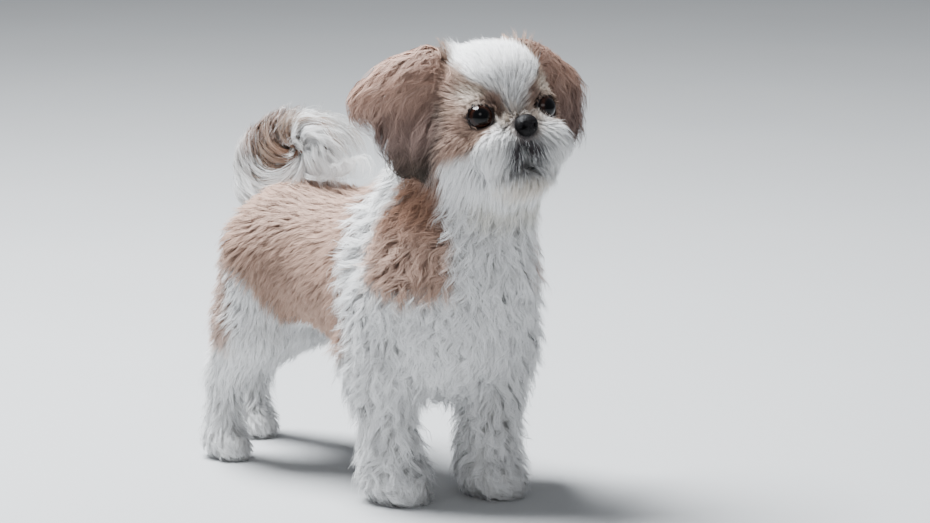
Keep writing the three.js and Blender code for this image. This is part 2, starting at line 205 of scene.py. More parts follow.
# coat depth between skin and the tips, by place
def face_depth(q):
    x, y, z = q[..., 0], q[..., 1], q[..., 2]
    d = 9.0 + 0 * x
    front = step01(x, 5, 45)
    d = d * (1 - front) + front * 6.5
    d = d + 4.5 * step01(-z, 18, 55) * step01(x, -20, 40)          # moustache and chin
    ex, ey, ez = EYE[0]
    for s in (-1, 1):
        e = np.sqrt((x - ex) ** 2 + (y - s * ey) ** 2 + (z - ez) ** 2)
        d = d - (d - 3.4) * (1 - step01(e, 13, 23))
    n = np.sqrt((x - NOSE[0][0]) ** 2 + y ** 2 + (z - NOSE[0][2]) ** 2)
    d = d - (d - 3.0) * (1 - step01(n, 11, 26))
    # almost bare lips under the nose
    lip = np.exp(-((y / 13) ** 2) - ((z + 38) / 15) ** 2) * step01(x, 40, 55)
    return d - (d - 4.5) * lip


def leg_depth(p, fore):
    z = p[..., 2]
    d = 4.0 + (10.0 if fore else 6.5) * step01(z, 14, 60)
    return d + (4.0 if fore else 2.5) * step01(z, 70, 150)


def soft_weights(r, p, names, k):
    m = np.min([r[n] for n in names], axis=0)
    w = {n: np.exp(-(r[n] - m) / k) for n in names}
    s = sum(w.values())
    return {n: w[n] / s for n in names}


BODY_REGIONS = ("trunk", "neck", "head", "fr", "fl", "hr", "hl")


def coat_depth(p, r=None):
    r = r or regions(p)
    w = soft_weights(r, p, BODY_REGIONS, 7.0)
    chest = step01(p[..., 0], 55, 120)
    d = w["trunk"] * (8.5 + 8.5 * chest) + w["neck"] * 15.0 + w["head"] * face_depth(to_head(p))
    for n in ("fr", "fl"):
        d = d + w[n] * leg_depth(p, True)
    for n in ("hr", "hl"):
        d = d + w[n] * leg_depth(p, False)
    return d


EYES = {s: from_head((EYE[0][0], s * EYE[0][1], EYE[0][2])) for s in (-1, 1)}
NOSE_AT = from_head(NOSE[0])
TOES = []
for n, g in LEGS.items():
    fx, fy, fz = g["foot"]
    rx, ry, rz = g["footR"]
    for i, (dx, dy) in enumerate(((0.52, -0.58), (0.74, -0.2), (0.74, 0.2), (0.52, 0.58))):
        TOES.append((n, (fx + dx * (rx - 5), fy + dy * (ry - 3), 8.5), 7.6 if n[0] == "f" else 6.3))


def ear_depth(q):
    return 8.0 - 4.0 * step01(q[..., 2], 0, 38)


def skin_field(p):
    r = regions(p)
    d = r["body"] + coat_depth(p, r)
    for _, c, rad in TOES:
        q = p - np.array(c, p.dtype)
        d = smin(d, np.sqrt((q * q).sum(-1)) - rad, 3)
    cover = ear_depth(to_head(p))
    d = smin(d, ear_field(p, EAR_R) + cover, 9)
    d = smin(d, ear_field(p, EAR_L) + cover, 9)
    d = smin(d, chain(p, TAIL_CORE), 8)
    # lip line under the nose, running out to both corners
    q = to_head(p)
    line = np.minimum(limb(q, (61, 0, -24), (60, 0, -37), 1.6, 1.6), np.minimum(limb(q, (60, 0, -37), (49, 20, -44), 1.8, 1.4), limb(q, (60, 0, -37), (49, -20, -44), 1.8, 1.4)))
    d = -smin(-d, line, 2.5)
    for s in (-1, 1):
        e = p - EYES[s].astype(p.dtype)
        d = -smin(-d, np.sqrt((e * e).sum(-1)) - 12.1, 1.5)
    return d


def coat_surface(p):
    """The solids' surface: body, ears and tail together."""
    d = regions(p)["body"]
    for e in (EAR_R, EAR_L):
        d = np.minimum(d, ear_field(p, e))
    return np.minimum(d, tail_field(p))


def gradient(f, p, e=0.6):
    g = np.empty_like(p)
    for i in range(3):
        o = np.zeros(3, p.dtype)
        o[i] = e
        g[:, i] = f(p + o) - f(p - o)
    return g / (2 * e)


def unit(v):
    return v / np.maximum(np.linalg.norm(v, axis=-1, keepdims=True), 1e-9)


# ------------------------------------------------------------------ skin mesh
def nets(f, lo, hi, h, coarse=4):
    """Closed surface f = 0 on a grid, worked out finely only near the surface."""
    lo = np.array(lo, float)
    n = (np.ceil((np.array(hi, float) - lo) / (h * coarse)).astype(int)) * coarse + 1
    nc = (n - 1) // coarse + 1
    ax = [lo[i] + h * coarse * np.arange(nc[i]) for i in range(3)]
    g = np.stack(np.meshgrid(*ax, indexing="ij"), -1).reshape(-1, 3).astype(F32)
    vc = f(g).reshape(nc)
    near = np.abs(vc) < h * coarse * 1.9
    full = np.repeat(np.repeat(np.repeat(vc, coarse, 0), coarse, 1), coarse, 2)
    mask = np.repeat(np.repeat(np.repeat(near, coarse, 0), coarse, 1), coarse, 2)
    o = coarse // 2
    full, mask = [a[o:o + n[0], o:o + n[1], o:o + n[2]] for a in (full, mask)]
    pad = [(0, n[i] - full.shape[i]) for i in range(3)]
    full, mask = np.pad(full, pad, mode="edge"), np.pad(mask, pad, mode="edge")
    idx = np.argwhere(mask)
    full = full.copy()
    vals = np.empty(len(idx), F32)
    for a in range(0, len(idx), 400000):
        vals[a:a + 400000] = f((lo + h * idx[a:a + 400000]).astype(F32))
    full[mask] = vals
    v = full
    c = n - 1
    s = v < 0
    cnt = np.zeros(c, F32)
    pos = np.zeros(tuple(c) + (3,), F32)

    def sub(a, q):
        return a[q[0]:q[0] + c[0], q[1]:q[1] + c[1], q[2]:q[2] + c[2]]

    for i in (0, 1):
        for j in (0, 1):
            for k in (0, 1):
                q = (i, j, k)
                for a in range(3):
                    if q[a]:
                        continue
                    q2 = list(q)
                    q2[a] = 1
                    A, B = sub(v, q), sub(v, q2)
                    m = (A < 0) != (B < 0)
                    t = np.where(m, A / np.where(m, A - B, 1), 0)
                    cnt += m
                    for d in range(3):
                        pos[..., d] += t if d == a else m * q[d]
    act = cnt > 0
    ids = -np.ones(tuple(c), int)
    ids[act] = np.arange(act.sum())
    pts = lo + h * (np.argwhere(act) + pos[act] / cnt[act][:, None])
    quads = []
    for a in range(3):
        b, d = (a + 1) % 3, (a + 2) % 3
        l0, l1 = [slice(None)] * 3, [slice(None)] * 3
        l0[a], l1[a] = slice(0, -1), slice(1, None)
        s0, s1 = s[tuple(l0)], s[tuple(l1)]
        e = np.argwhere(s0 != s1)
        e = e[(e[:, b] > 0) & (e[:, d] > 0) & (e[:, b] < n[b] - 1) & (e[:, d] < n[d] - 1)]
        fl = s0[e[:, 0], e[:, 1], e[:, 2]]

        def cell(db, dd):
            q = e.copy()
            q[:, b] -= db
            q[:, d] -= dd
            return ids[q[:, 0], q[:, 1], q[:, 2]]

        q = np.stack([cell(1, 1), cell(0, 1), cell(0, 0), cell(1, 0)], 1)
        quads.append(np.where(fl[:, None], q, q[:, ::-1]))
    return pts, np.concatenate(quads)


def to_metres(p):
    return ((np.asarray(p, float) + SHIFT) * 0.001).astype(F32)


def new_mesh(name, verts, faces, smooth=True):
    """faces: (m, 3) or (m, 4) array of vertex numbers."""
    me = bpy.data.meshes.new(name)
    k = faces.shape[1]
    me.vertices.add(len(verts))
    me.vertices.foreach_set("co", np.ascontiguousarray(verts, F32).ravel())
    me.loops.add(faces.size)
    me.loops.foreach_set("vertex_index", np.ascontiguousarray(faces, np.int32).ravel())
    me.polygons.add(len(faces))
    me.polygons.foreach_set("loop_start", np.arange(0, faces.size, k, dtype=np.int32))
    if smooth:
        me.polygons.foreach_set("use_smooth", np.ones(len(faces), bool))
    me.update(calc_edges=True)
    ob = bpy.data.objects.new(name, me)
    bpy.context.scene.collection.objects.link(ob)
    return ob


pts, quads = nets(skin_field, (-224, -122, -14), (262, 132, 420), 3.0)
for _ in range(2):
    v = skin_field(pts)
    g = gradient(skin_field, pts)
    pts = pts - (np.clip(v, -2, 2) / np.maximum((g * g).sum(-1), 0.2))[:, None] * g
skin_n = unit(gradient(skin_field, pts))
# soles are flat on the ground
pts[:, 2] = np.maximum(pts[:, 2], 0.0)


# ------------------------------------------------------------------ markings
def srgb(*c):
    c = np.array(c, float) / 255
    return np.where(c <= 0.04045, c / 12.92, ((c + 0.055) / 1.055) ** 2.4)


LIP_HAIR = srgb(50, 47, 52)
WHITE = srgb(243, 242, 240)
CREAM = srgb(226, 214, 198)
SADDLE = srgb(174, 144, 128)
SADDLE_DEEP = srgb(155, 124, 104)
RUST = srgb(139, 98, 74)
EAR_TAN = srgb(171, 138, 122)
EAR_GREY = srgb(134, 112, 104)
EAR_DARK = srgb(55, 45, 35)
BROW = srgb(140, 116, 104)
CHEEK_TAN = srgb(146, 121, 105)
GREY = srgb(168, 152, 138)
LIP = srgb(52, 44, 46)
SKIN_PINK = srgb(196, 150, 134)


def mix(a, b, w):
    return a + (b - a) * w[..., None]


def wobble(p, scale, seed):
    """Smooth value between about -1 and 1, from a few crossed waves."""
    r = np.random.default_rng(seed)
    out = 0
    for _ in range(5):
        k = unit(r.normal(size=3)) / scale * r.uniform(0.6, 1.7) * 2 * math.pi
        out = out + np.sin(p @ k + r.uniform(0, 6.28))
    return out / 3.0


def ear_front(q, s):
    """The strip of the cheek that an ear's hair covers, in the head's frame."""
    x, y, z = q[..., 0], q[..., 1], q[..., 2]
    inner = np.interp(z, [-50, 0, 20, 35, 45], [36, 38, 35, 29, 25])
    edge = np.interp(z, [-40, -26, -12, 0, 30, 45], [-22, -4, 7, 10, 6, 0])
    return step01(edge - x, -1, 2) * step01(y * s - inner, 0, 3) * step01(z, -34, -26) * (1 - step01(z, 44, 50)) * step01(x, -48, -42)


def ear_crease(q):
    """Shade in the fold where an ear's front edge lies on the cheek."""
    x, y, z = q[..., 0], q[..., 1], q[..., 2]
    edge = np.interp(z, [-48, -30, -12, 0, 30, 45], [-12, 0, 8, 11, 6, 0])
    return np.exp(-(((x - edge - 3) / 6.0) ** 2)) * step01(np.abs(y), 32, 40) * step01(z, -56, -44) * (1 - 0.6 * step01(z, 18, 36))


def markings(p):
    """Coat colour at a root on the skin, and the share of each named region."""
    p = np.asarray(p, float)
    r = regions(p)
    w = soft_weights(r, p, BODY_REGIONS, 4.0)
    q = to_head(p)
    hx, hy, hz = q[..., 0], q[..., 1], q[..., 2]
    x, y, z = p[..., 0], p[..., 1], p[..., 2]
    ay = np.abs(y)
    n1 = wobble(p, 40, 1)
    n2 = wobble(p, 16, 2)
    col = np.broadcast_to(WHITE, p.shape).copy()
    # saddle: over the back and flanks, from behind the shoulder to the rump
    front = np.interp(z, [100, 125, 158, 174, 191, 225, 240, 256, 266, 275], [94, 85, 77, 71, 68, 66, 62, 58, 66, 74]) + 3 * n1
    # lower edge: high over the thigh, dropping along the flank to the belly
    low = np.interp(x, [-130, -95, -75, -64, -56, -47, -40, -34, -10, 20, 58, 90], [200, 192, 188, 183, 173, 162, 150, 141, 136, 126, 116, 108])
    sad = step01(front - x, -5, 5) * step01(z - low + 5 * n1, -5, 6)
    # strip down the back edge of the thigh
    strip = step01(-x, 72 + 4 * n1, 82 + 4 * n1) * step01(z, 100, 118) * step01(212 - z, 0, 10) * step01(ay, 30, 48) * step01(-x, 40, 80) * (1 - step01(-x - (z < 120) * 10, 112, 124))
    sad = np.maximum(sad, 0.85 * strip)
    sad = sad * (1 - 0.97 * (w["fr"] + w["fl"]) * (1 - step01(z, 118, 136)))
    body = 1 - w["head"]
    col = mix(col, SADDLE, sad * body)
    # neck and shoulder patch on each side, rusty high up
    pf = np.interp(z, [180, 200, 235, 262, 292, 320], [182, 184, 180, 166, 172, 172])
    pb = np.interp(z, [180, 200, 230, 250, 275, 300, 320], [132, 112, 97, 104, 118, 134, 140])
    patch = step01(pf - x, -4, 6) * step01(x - pb, -6, 5) * step01(z + 4 * n1, 183, 194) * step01(ay, 22, 40) * (1 - 0.9 * w["head"] * step01(hz, -60, -40))
    col = mix(col, mix(SADDLE + 0 * p, RUST, 0.75 * step01(z, 225, 262)), patch * (1 - sad))
    # head
    h = w["head"]
    hc = np.broadcast_to(WHITE, p.shape).copy()
    blaze_w = np.interp(hz, [-4, 7, 15, 24, 31, 38, 60], [6, 8, 12, 22, 31, 35, 34]) - 0.42 * np.clip(19 - hx, 0, 50)
    off = step01(np.abs(hy) - blaze_w + 2.0 * n2, -2.5, 4.5) * step01(hz, -8, 2)
    side = step01(np.abs(hy), 38, 52)
    tan = mix(CHEEK_TAN + 0 * p, EAR_TAN, side * step01(hz, 5, 30))
    hc = mix(hc, tan, off)
    # cheek below and behind the eye, down to the moustache line
    line = np.interp(hx, [-60, -30, 0, 8, 20, 33, 48, 58], [-75, -75, -52, -37, -34, -31, -25, -12])
    cheek = step01(hz - line + 2.5 * n2, -4, 5) * step01(np.abs(hy), 20, 32) * (1 - step01(hx, 56, 62)) * (1 - step01(hz, 0, 8))
    hc = mix(hc, mix(CHEEK_TAN + 0 * p, EAR_TAN, 0.5 * side), cheek)
    # greyer hair above the eyes and round the nose, dark stain in the inner corner
    for s in (-1, 1):
        pale = np.exp(-(((hx - 40) / 16) ** 2) - ((hy - s * 36) / 12) ** 2 - ((hz - 21) / 8) ** 2)
        hc = mix(hc, CREAM * 0.86, 0.6 * np.clip(pale * 1.3, 0, 1))
        br = np.exp(-(((hx - 46) / 14) ** 2) - ((hy - s * 20) / 9) ** 2 - ((hz - 13) / 8) ** 2)
        hc = mix(hc, BROW, 0.85 * np.clip(br * 1.25, 0, 1))
        st = np.exp(-(((hx - 54) / 9) ** 2) - ((hy - s * 19) / 6) ** 2 - ((hz + 3) / 7) ** 2)
        hc = mix(hc, GREY, 0.8 * st)
    nd = np.sqrt((hx - 58) ** 2 + hy ** 2 + (hz + 10) ** 2)
    hc = mix(hc, GREY, 0.75 * (1 - step01(nd + 1.5 * n2, 13, 22)))
    back = step01(-hx, 16, 40)
    hc = mix(hc, mix(WHITE + 0 * p, EAR_TAN, 0.95 * step01(np.abs(hy), 10, 20) * step01(hz, -80, -60)), back)
    chin = step01(-hz, 50, 66) * step01(hx, 30, 50)
    hc = mix(hc, CREAM * 0.86, 0.85 * chin)
    lip = np.exp(-(((hy + 3) / 21) ** 2) - ((hz + 38) / 17) ** 2) * step01(hx, 46, 54)
    hc = hc * (1 - 0.58 * ear_crease(q))[..., None]
    # painted shade under the chin: the front of the neck is greyed towards a dull cream
    under_chin_shade = step01(x, 118, 150) * np.exp(-(((z - 262) / 20) ** 2)) * (1 - h) * (1 - step01(ay, 30, 50))
    col = mix(col, srgb(196, 190, 172), 0.55 * under_chin_shade)
    col = mix(col, hc, h)
    return col, dict(w=w, sad=sad * body, patch=patch, lip=np.clip(1.6 * lip, 0, 1) * h, q=q, r=r)


# ------------------------------------------------------------------ materials
def material(name, build):
    m = bpy.data.materials.new(name)
    m.use_nodes = True
    nt = m.node_tree
    nt.nodes.clear()
    out = nt.nodes.new("ShaderNodeOutputMaterial")
    b = nt.nodes.new("ShaderNodeBsdfPrincipled")
    nt.links.new(b.outputs[0], out.inputs[0])
    build(nt, b)
    return m


def attribute(nt, name):
    a = nt.nodes.new("ShaderNodeAttribute")
    a.attribute_name = name
    return a.outputs["Color"]


def coords(nt, scale):
    t = nt.nodes.new("ShaderNodeTexCoord")
    m = nt.nodes.new("ShaderNodeMapping")
    m.inputs["Scale"].default_value = scale
    nt.links.new(t.outputs["Object"], m.inputs["Vector"])
    return m.outputs[0]


def bump_node(nt, height, strength, distance):
    b = nt.nodes.new("ShaderNodeBump")
    b.inputs["Strength"].default_value = strength
    b.inputs["Distance"].default_value = distance
    nt.links.new(height, b.inputs["Height"])
    return b.outputs[0]


def skin_material(nt, b):
    nt.links.new(attribute(nt, "coat"), b.inputs["Base Color"])
    b.inputs["Roughness"].default_value = 0.75
    n = nt.nodes.new("ShaderNodeTexNoise")
    n.inputs["Scale"].default_value = 1.0
    n.inputs["Detail"].default_value = 4
    nt.links.new(coords(nt, (420, 420, 260)), n.inputs["Vector"])
    nt.links.new(bump_node(nt, n.outputs[0], 0.5, 0.001), b.inputs["Normal"])


def fur_material(nt, b):
    nt.links.new(attribute(nt, "coat"), b.inputs["Base Color"])
    b.inputs["Roughness"].default_value = 0.6
    b.inputs["Specular IOR Level"].default_value = 0.3


MAT_SKIN = material("skin_under_coat", skin_material)
MAT_FUR = material("coat_hair", fur_material)

# ------------------------------------------------------------------ the skin
skin = new_mesh("skin", to_metres(pts), quads)
skin_col, skin_info = markings(pts)
# painted shade: the skin under the coat is drawn at 80% of the coat's colour, as if shaded by the hair over it
under = skin_col * 0.80
under = mix(under, LIP, skin_info["lip"])
# dark rims round the eyes, leathery edge round the nose
for s in (-1, 1):
    e = np.linalg.norm(pts - EYES[s], axis=1)
    under = mix(under, srgb(44, 32, 30), 1 - step01(e, 12.6, 15.5))
e = np.linalg.norm(pts - NOSE_AT, axis=1)
under = mix(under, srgb(40, 34, 36), 1 - step01(e, 10.5, 14))


def ear_colour(q, s):
    """Colour along an ear's hair from crown to tip, by height in the head's frame."""
    z = q[..., 2] + 3.0 * wobble(q, 22, 5)
    c = mix(EAR_TAN + 0 * q, EAR_GREY, step01(-z, -26, 8))
    c = mix(c, EAR_DARK, step01(-z, 12, 40))
    return c * (1 - 0.3 * ear_crease(q))[..., None]


ear_d = {s: ear_field(pts, e) for s, e in ((-1, EAR_R), (1, EAR_L))}
body_d = skin_info["r"]["body"]
for s in (-1, 1):
    on = np.maximum(step01(body_d - ear_d[s], 6, 14), ear_front(to_head(pts), s))
    # painted shade: skin under an ear's hair takes the ear's colour at 75%
    under = mix(under, 0.75 * ear_colour(to_head(pts), s), on)
tail_d = chain(pts, TAIL_CORE)
# painted shade: skin under the tail's hair is white at 80%
under = mix(under, WHITE * 0.8, 1 - step01(tail_d, 0.5, 3))
a = skin.data.color_attributes.new("coat", "FLOAT_COLOR", "POINT")
a.data.foreach_set("color", np.concatenate([np.clip(under, 0, 1), np.ones((len(pts), 1))], 1).astype(F32).ravel())
skin.data.materials.append(MAT_SKIN)
# unwrap of the skin's own shape
bpy.context.view_layer.objects.active = skin
skin.select_set(True)
skin.data.uv_layers.new(name="OFBake")
bpy.ops.object.mode_set(mode="EDIT")
bpy.ops.mesh.select_all(action="SELECT")
bpy.ops.uv.smart_project(angle_limit=math.radians(66), island_margin=0.002)
bpy.ops.object.mode_set(mode="OBJECT")
skin.select_set(False)
uv = np.empty(len(quads) * 8, F32)
skin.data.uv_layers["OFBake"].data.foreach_get("uv", uv)
uv = uv.reshape(-1, 4, 2)
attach(skin, "root")
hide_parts("head", "neck", "trunk", "foreleg_right", "foreleg_left", "hindleg_right", "hindleg_left", "forepaw_right", "forepaw_left", "hindpaw_right", "hindpaw_left", "ear_right", "ear_left", "tail")

# ------------------------------------------------------------------ coat
QUICK = 1.0


def roots_on_skin(weight, count, gen):
    """count places on the skin, spread by area times weight(corner points)."""
    A = pts[quads]
    tri = np.concatenate([quads[:, [0, 1, 2]], quads[:, [0, 2, 3]]])
    tuv = np.concatenate([uv[:, [0, 1, 2]], uv[:, [0, 2, 3]]])
    P = pts[tri]
    area = 0.5 * np.linalg.norm(np.cross(P[:, 1] - P[:, 0], P[:, 2] - P[:, 0]), axis=1)
    wt = area * weight[tri].mean(1)
    cum = np.cumsum(wt)
    # evenly stepped draws keep the spread regular
    draw = (np.arange(count) + gen.uniform(0, 1, count)) / count * cum[-1]
    t = np.minimum(np.searchsorted(cum, draw), len(tri) - 1)
    a, b = gen.uniform(0, 1, count), gen.uniform(0, 1, count)
    f = a + b > 1
    a[f], b[f] = 1 - a[f], 1 - b[f]
    w = np.stack([1 - a - b, a, b], 1)[..., None]
    N = unit((skin_n[tri[t]] * w).sum(1))
    return (P[t] * w).sum(1), N, (tuv[t] * w).sum(1), wt.sum()


def thin(P, r):
    """Numbers of a subset of P whose members are all at least r apart."""
    cells, keep = {}, []
    K = np.floor(P / r).astype(int).tolist()
    Q = P.tolist()
    near = [(i, j, k) for i in (-1, 0, 1) for j in (-1, 0, 1) for k in (-1, 0, 1)]
    r2 = r * r
    for n, (a, b, c) in enumerate(K):
        x, y, z = Q[n]
        free = True
        for i, j, k in near:
            for m in cells.get((a + i, b + j, c + k), ()):
                u, v, w = Q[m]
                if (u - x) ** 2 + (v - y) ** 2 + (w - z) ** 2 < r2:
                    free = False
                    break
            if not free:
                break
        if free:
            cells.setdefault((a, b, c), []).append(n)
            keep.append(n)
    return np.array(keep)


def plan(weight, per_mm2, lock_r, gen):
    """Strand roots spread evenly over a region, the guides among them, and the
    guide that each strand belongs to."""
    _, _, _, area = roots_on_skin(weight, 1, gen)
    n = max(20, int(area * per_mm2 * QUICK))
    P, N, U, _ = roots_on_skin(weight, n, gen)
    first = gen.permutation(n)[:max(20, int(area / (lock_r * lock_r) * 4.5))]
    g = first[thin(P[first], lock_r)]
    kd = KDTree(len(g))
    G = P[g] + 6.0 * N[g]
    for i, c in enumerate(G.tolist()):
        kd.insert(c, i)
    kd.balance()
    S = P + 6.0 * N
    own = np.array([kd.find(c)[1] for c in S.tolist()])
    return P, N, U, g, own


def tangent(v, n):
    return unit(v - (v * n).sum(-1, keepdims=True) * n)


def flow(p, n, info=None):
    """Lie of the coat: the way hair points at a place, before it is laid on the skin."""
    p = np.asarray(p, float)
    r = regions(p)
    w = soft_weights(r, p, BODY_REGIONS, 8.0)
    x, y, z = p[:, 0], p[:, 1], p[:, 2]
    sgn = np.sign(y)
    up = np.clip(n[:, 2], 0, 1)
    front = step01(x, 75, 150)
    trunk = np.stack([-0.62 - 0.35 * up + 0.55 * front, 0.30 * sgn * up, -0.2 - 0.7 * (1 - up) - 0.7 * front], 1)
    neck = np.stack([-0.35 + 0 * x, 0.15 * sgn, -1 + 0 * x], 1)
    leg = np.stack([-0.12 + 0 * x, 0 * x, -1 + 0 * x], 1)
    low = 1 - step01(z, 16, 34)
    leg = leg + low[:, None] * np.array([0.9, 0, 0.35])
    hind = np.stack([-0.35 + 0 * x, 0 * x, -1 + 0 * x], 1) + low[:, None] * np.array([0.9, 0, 0.4])
    q = to_head(p)
    v = unit(q - np.array([50.0, 0, -6]))
    dn = step01(-q[:, 2], 2, 40)
    v = v + np.stack([0 * x, 0 * x, -0.9 * dn], 1)
    bk = step01(-q[:, 0], -25, 25)
    v = v + bk[:, None] * np.array([-0.9, 0, -0.7])
    head = v @ HEAD_R.T
    out = w["trunk"][:, None] * trunk + w["neck"][:, None] * neck + w["head"][:, None] * head
    for m in ("fr", "fl"):
        out = out + w[m][:, None] * leg
    for m in ("hr", "hl"):
        out = out + w[m][:, None] * hind
    # loose swirls break the lie up
    sw = (1 - w["head"]) * (0.22 + 0.30 * step01(x, 60, 100))
    out = out + sw[:, None] * np.stack([wobble(p, 34, 11), wobble(p, 34, 12), wobble(p, 34, 13)], 1)
    return out


class Hair:
    """Collects strands: centre lines, widths, colours and places on the unwrap."""

    def __init__(self):
        self.parts = []
        self.free = []          # strands that may pass in front of an eye

    def add(self, path, width, normal, colour, uvs):
        self.parts.append((path.astype(F32), width.astype(F32), normal.astype(F32), colour.astype(F32), uvs.astype(F32)))


def grow_on_skin(P, N, L, D, K, hold, dirs, lift=0.5, overhang=None):
    """Guides that leave the skin and lie over it. L length, D height at the tip,
    dirs(p, n) the lie; hold 0..1 says how firmly they keep to the skin."""
    m = len(P)
    path = np.empty((m, K + 1, 3))
    norm = np.empty((m, K + 1, 3))
    p, n = P - 1.2 * N, N
    path[:, 0], norm[:, 0] = p, n
    d = None
    for k in range(1, K + 1):
        t = k / K
        want = tangent(dirs(p, n), n)
        rise = lift * (1 - t) + 0.06
        nd = unit(want + rise * n)
        d = nd if d is None else unit(0.45 * d + 0.55 * nd)
        p = p + d * (L / K)[:, None]
        h = D * (1 - (1 - t) ** 1.6)
        g = gradient(skin_field, p.astype(F32)).astype(float)
        gg = np.maximum((g * g).sum(-1), 0.25)
        f = skin_field(p.astype(F32)).astype(float)
        err = f - h
        move = np.where(err > 0, hold, 0.9) * err / gg
        move = np.clip(move, -4, 4)
        p = p - move[:, None] * g
        n = unit(g)
        path[:, k], norm[:, k] = p, n
    return path, norm


def locks(hair, path, norm, colour, tip, uvs, count, spread, width, wave, waves, K, gen, conv=0.7, stray=0.12, colour_var=0.09, confine=None, free=0.0, own=None, roots=None, paint=None):
    """Splits every guide into `count` strands that start apart and close in on
    the guide's tip, sharing its wave."""
    m = len(path)
    T = np.linspace(0, 1, K + 1)
    # wave shared by the lock
    t = unit(path[:, 1:] - path[:, :-1])
    t = np.concatenate([t, t[:, -1:]], 1)
    side = unit(np.cross(t, norm))
    ph = gen.uniform(0, 6.28, m)[:, None]
    fr = (waves * gen.uniform(0.75, 1.3, m))[:, None]
    amp = (wave * gen.uniform(0.5, 1.4, m))[:, None] * np.minimum(1, T * 2.2)[None]
    a1 = np.sin(ph + 6.283 * fr * T[None])
    a2 = np.sin(ph + 1.7 + 6.283 * fr * T[None])
    gp = path + side * (amp * a1)[..., None] + norm * (0.55 * amp * np.maximum(a2, -0.3))[..., None]
    spread = np.broadcast_to(spread, (m,))
    width = np.broadcast_to(width, (m,))
    if own is None:
        idx = np.repeat(np.arange(m), count)
        n = len(idx)
        rad = np.sqrt(gen.uniform(0, 1, n)) * spread[idx]
        ang = gen.uniform(0, 6.283, n)
        t0 = t[idx, 0] - (t[idx, 0] * norm[idx, 0]).sum(-1, keepdims=True) * norm[idx, 0]
        t0 = unit(t0)
        s0 = unit(np.cross(norm[idx, 0], t0))
        off = (np.cos(ang) * rad)[:, None] * s0 + (np.sin(ang) * rad)[:, None] * t0
        suv = uvs[idx]
    else:
        idx = own
        n = len(idx)
        off = roots - gp[idx, 0]
        suv = uvs
    loose = gen.uniform(0, 1, n) < stray
    cv = np.where(loose, gen.uniform(-0.35, 0.25, n), conv * gen.uniform(0.75, 1.1, n))
    keep = 1 - cv[:, None] * (T[None] ** 1.15)
    q = gp[idx] + off[:, None] * keep[..., None]
    # each strand is a little longer or shorter than its lock and has its own drift
    ln = np.where(loose, gen.uniform(0.85, 1.18, n), gen.uniform(0.78, 1.04, n))
    q = q[:, :1] + (q - q[:, :1]) * ln[:, None, None]
    drift = gen.normal(size=(n, 3)) * spread[idx][:, None] * np.where(loose, 0.45, 0.16)[:, None]
    q = q + drift[:, None] * (T[None] ** 1.5)[..., None]
    wave_own = gen.uniform(0, 6.28, n)[:, None] + 6.283 * (fr[idx] * 1.4) * T[None]
    q = q + side[idx] * (0.18 * amp[idx] * np.sin(wave_own))[..., None]
    if confine is not None:
        for _ in range(2):
            flat = q.reshape(-1, 3).astype(F32)
            f = confine(flat).reshape(q.shape[:2])
            g = gradient(confine, flat).reshape(q.shape)
            q = q - (np.clip(f - free, 0, 15) * 0.8)[..., None] * g
    w = width[idx] * gen.uniform(0.75, 1.25, n)
    if paint is not None:
        c0, c1 = paint(q)
    else:
        c0, c1 = colour[idx], tip[idx]
    c0 = c0 * (1 + colour_var * gen.normal(size=(n, 1)))
    lock_var = (1 + 0.06 * gen.normal(size=(m, 1)))[idx]
    c0 = np.clip(c0 * lock_var, 0.004, 0.95)
    c1 = np.clip(c1 * lock_var * (1 + 0.5 * colour_var * gen.normal(size=(n, 1))), 0.004, 0.97)
    hair.add(q, w, norm[idx], np.stack([c0, c1], 1), suv + 0.0)
    return q


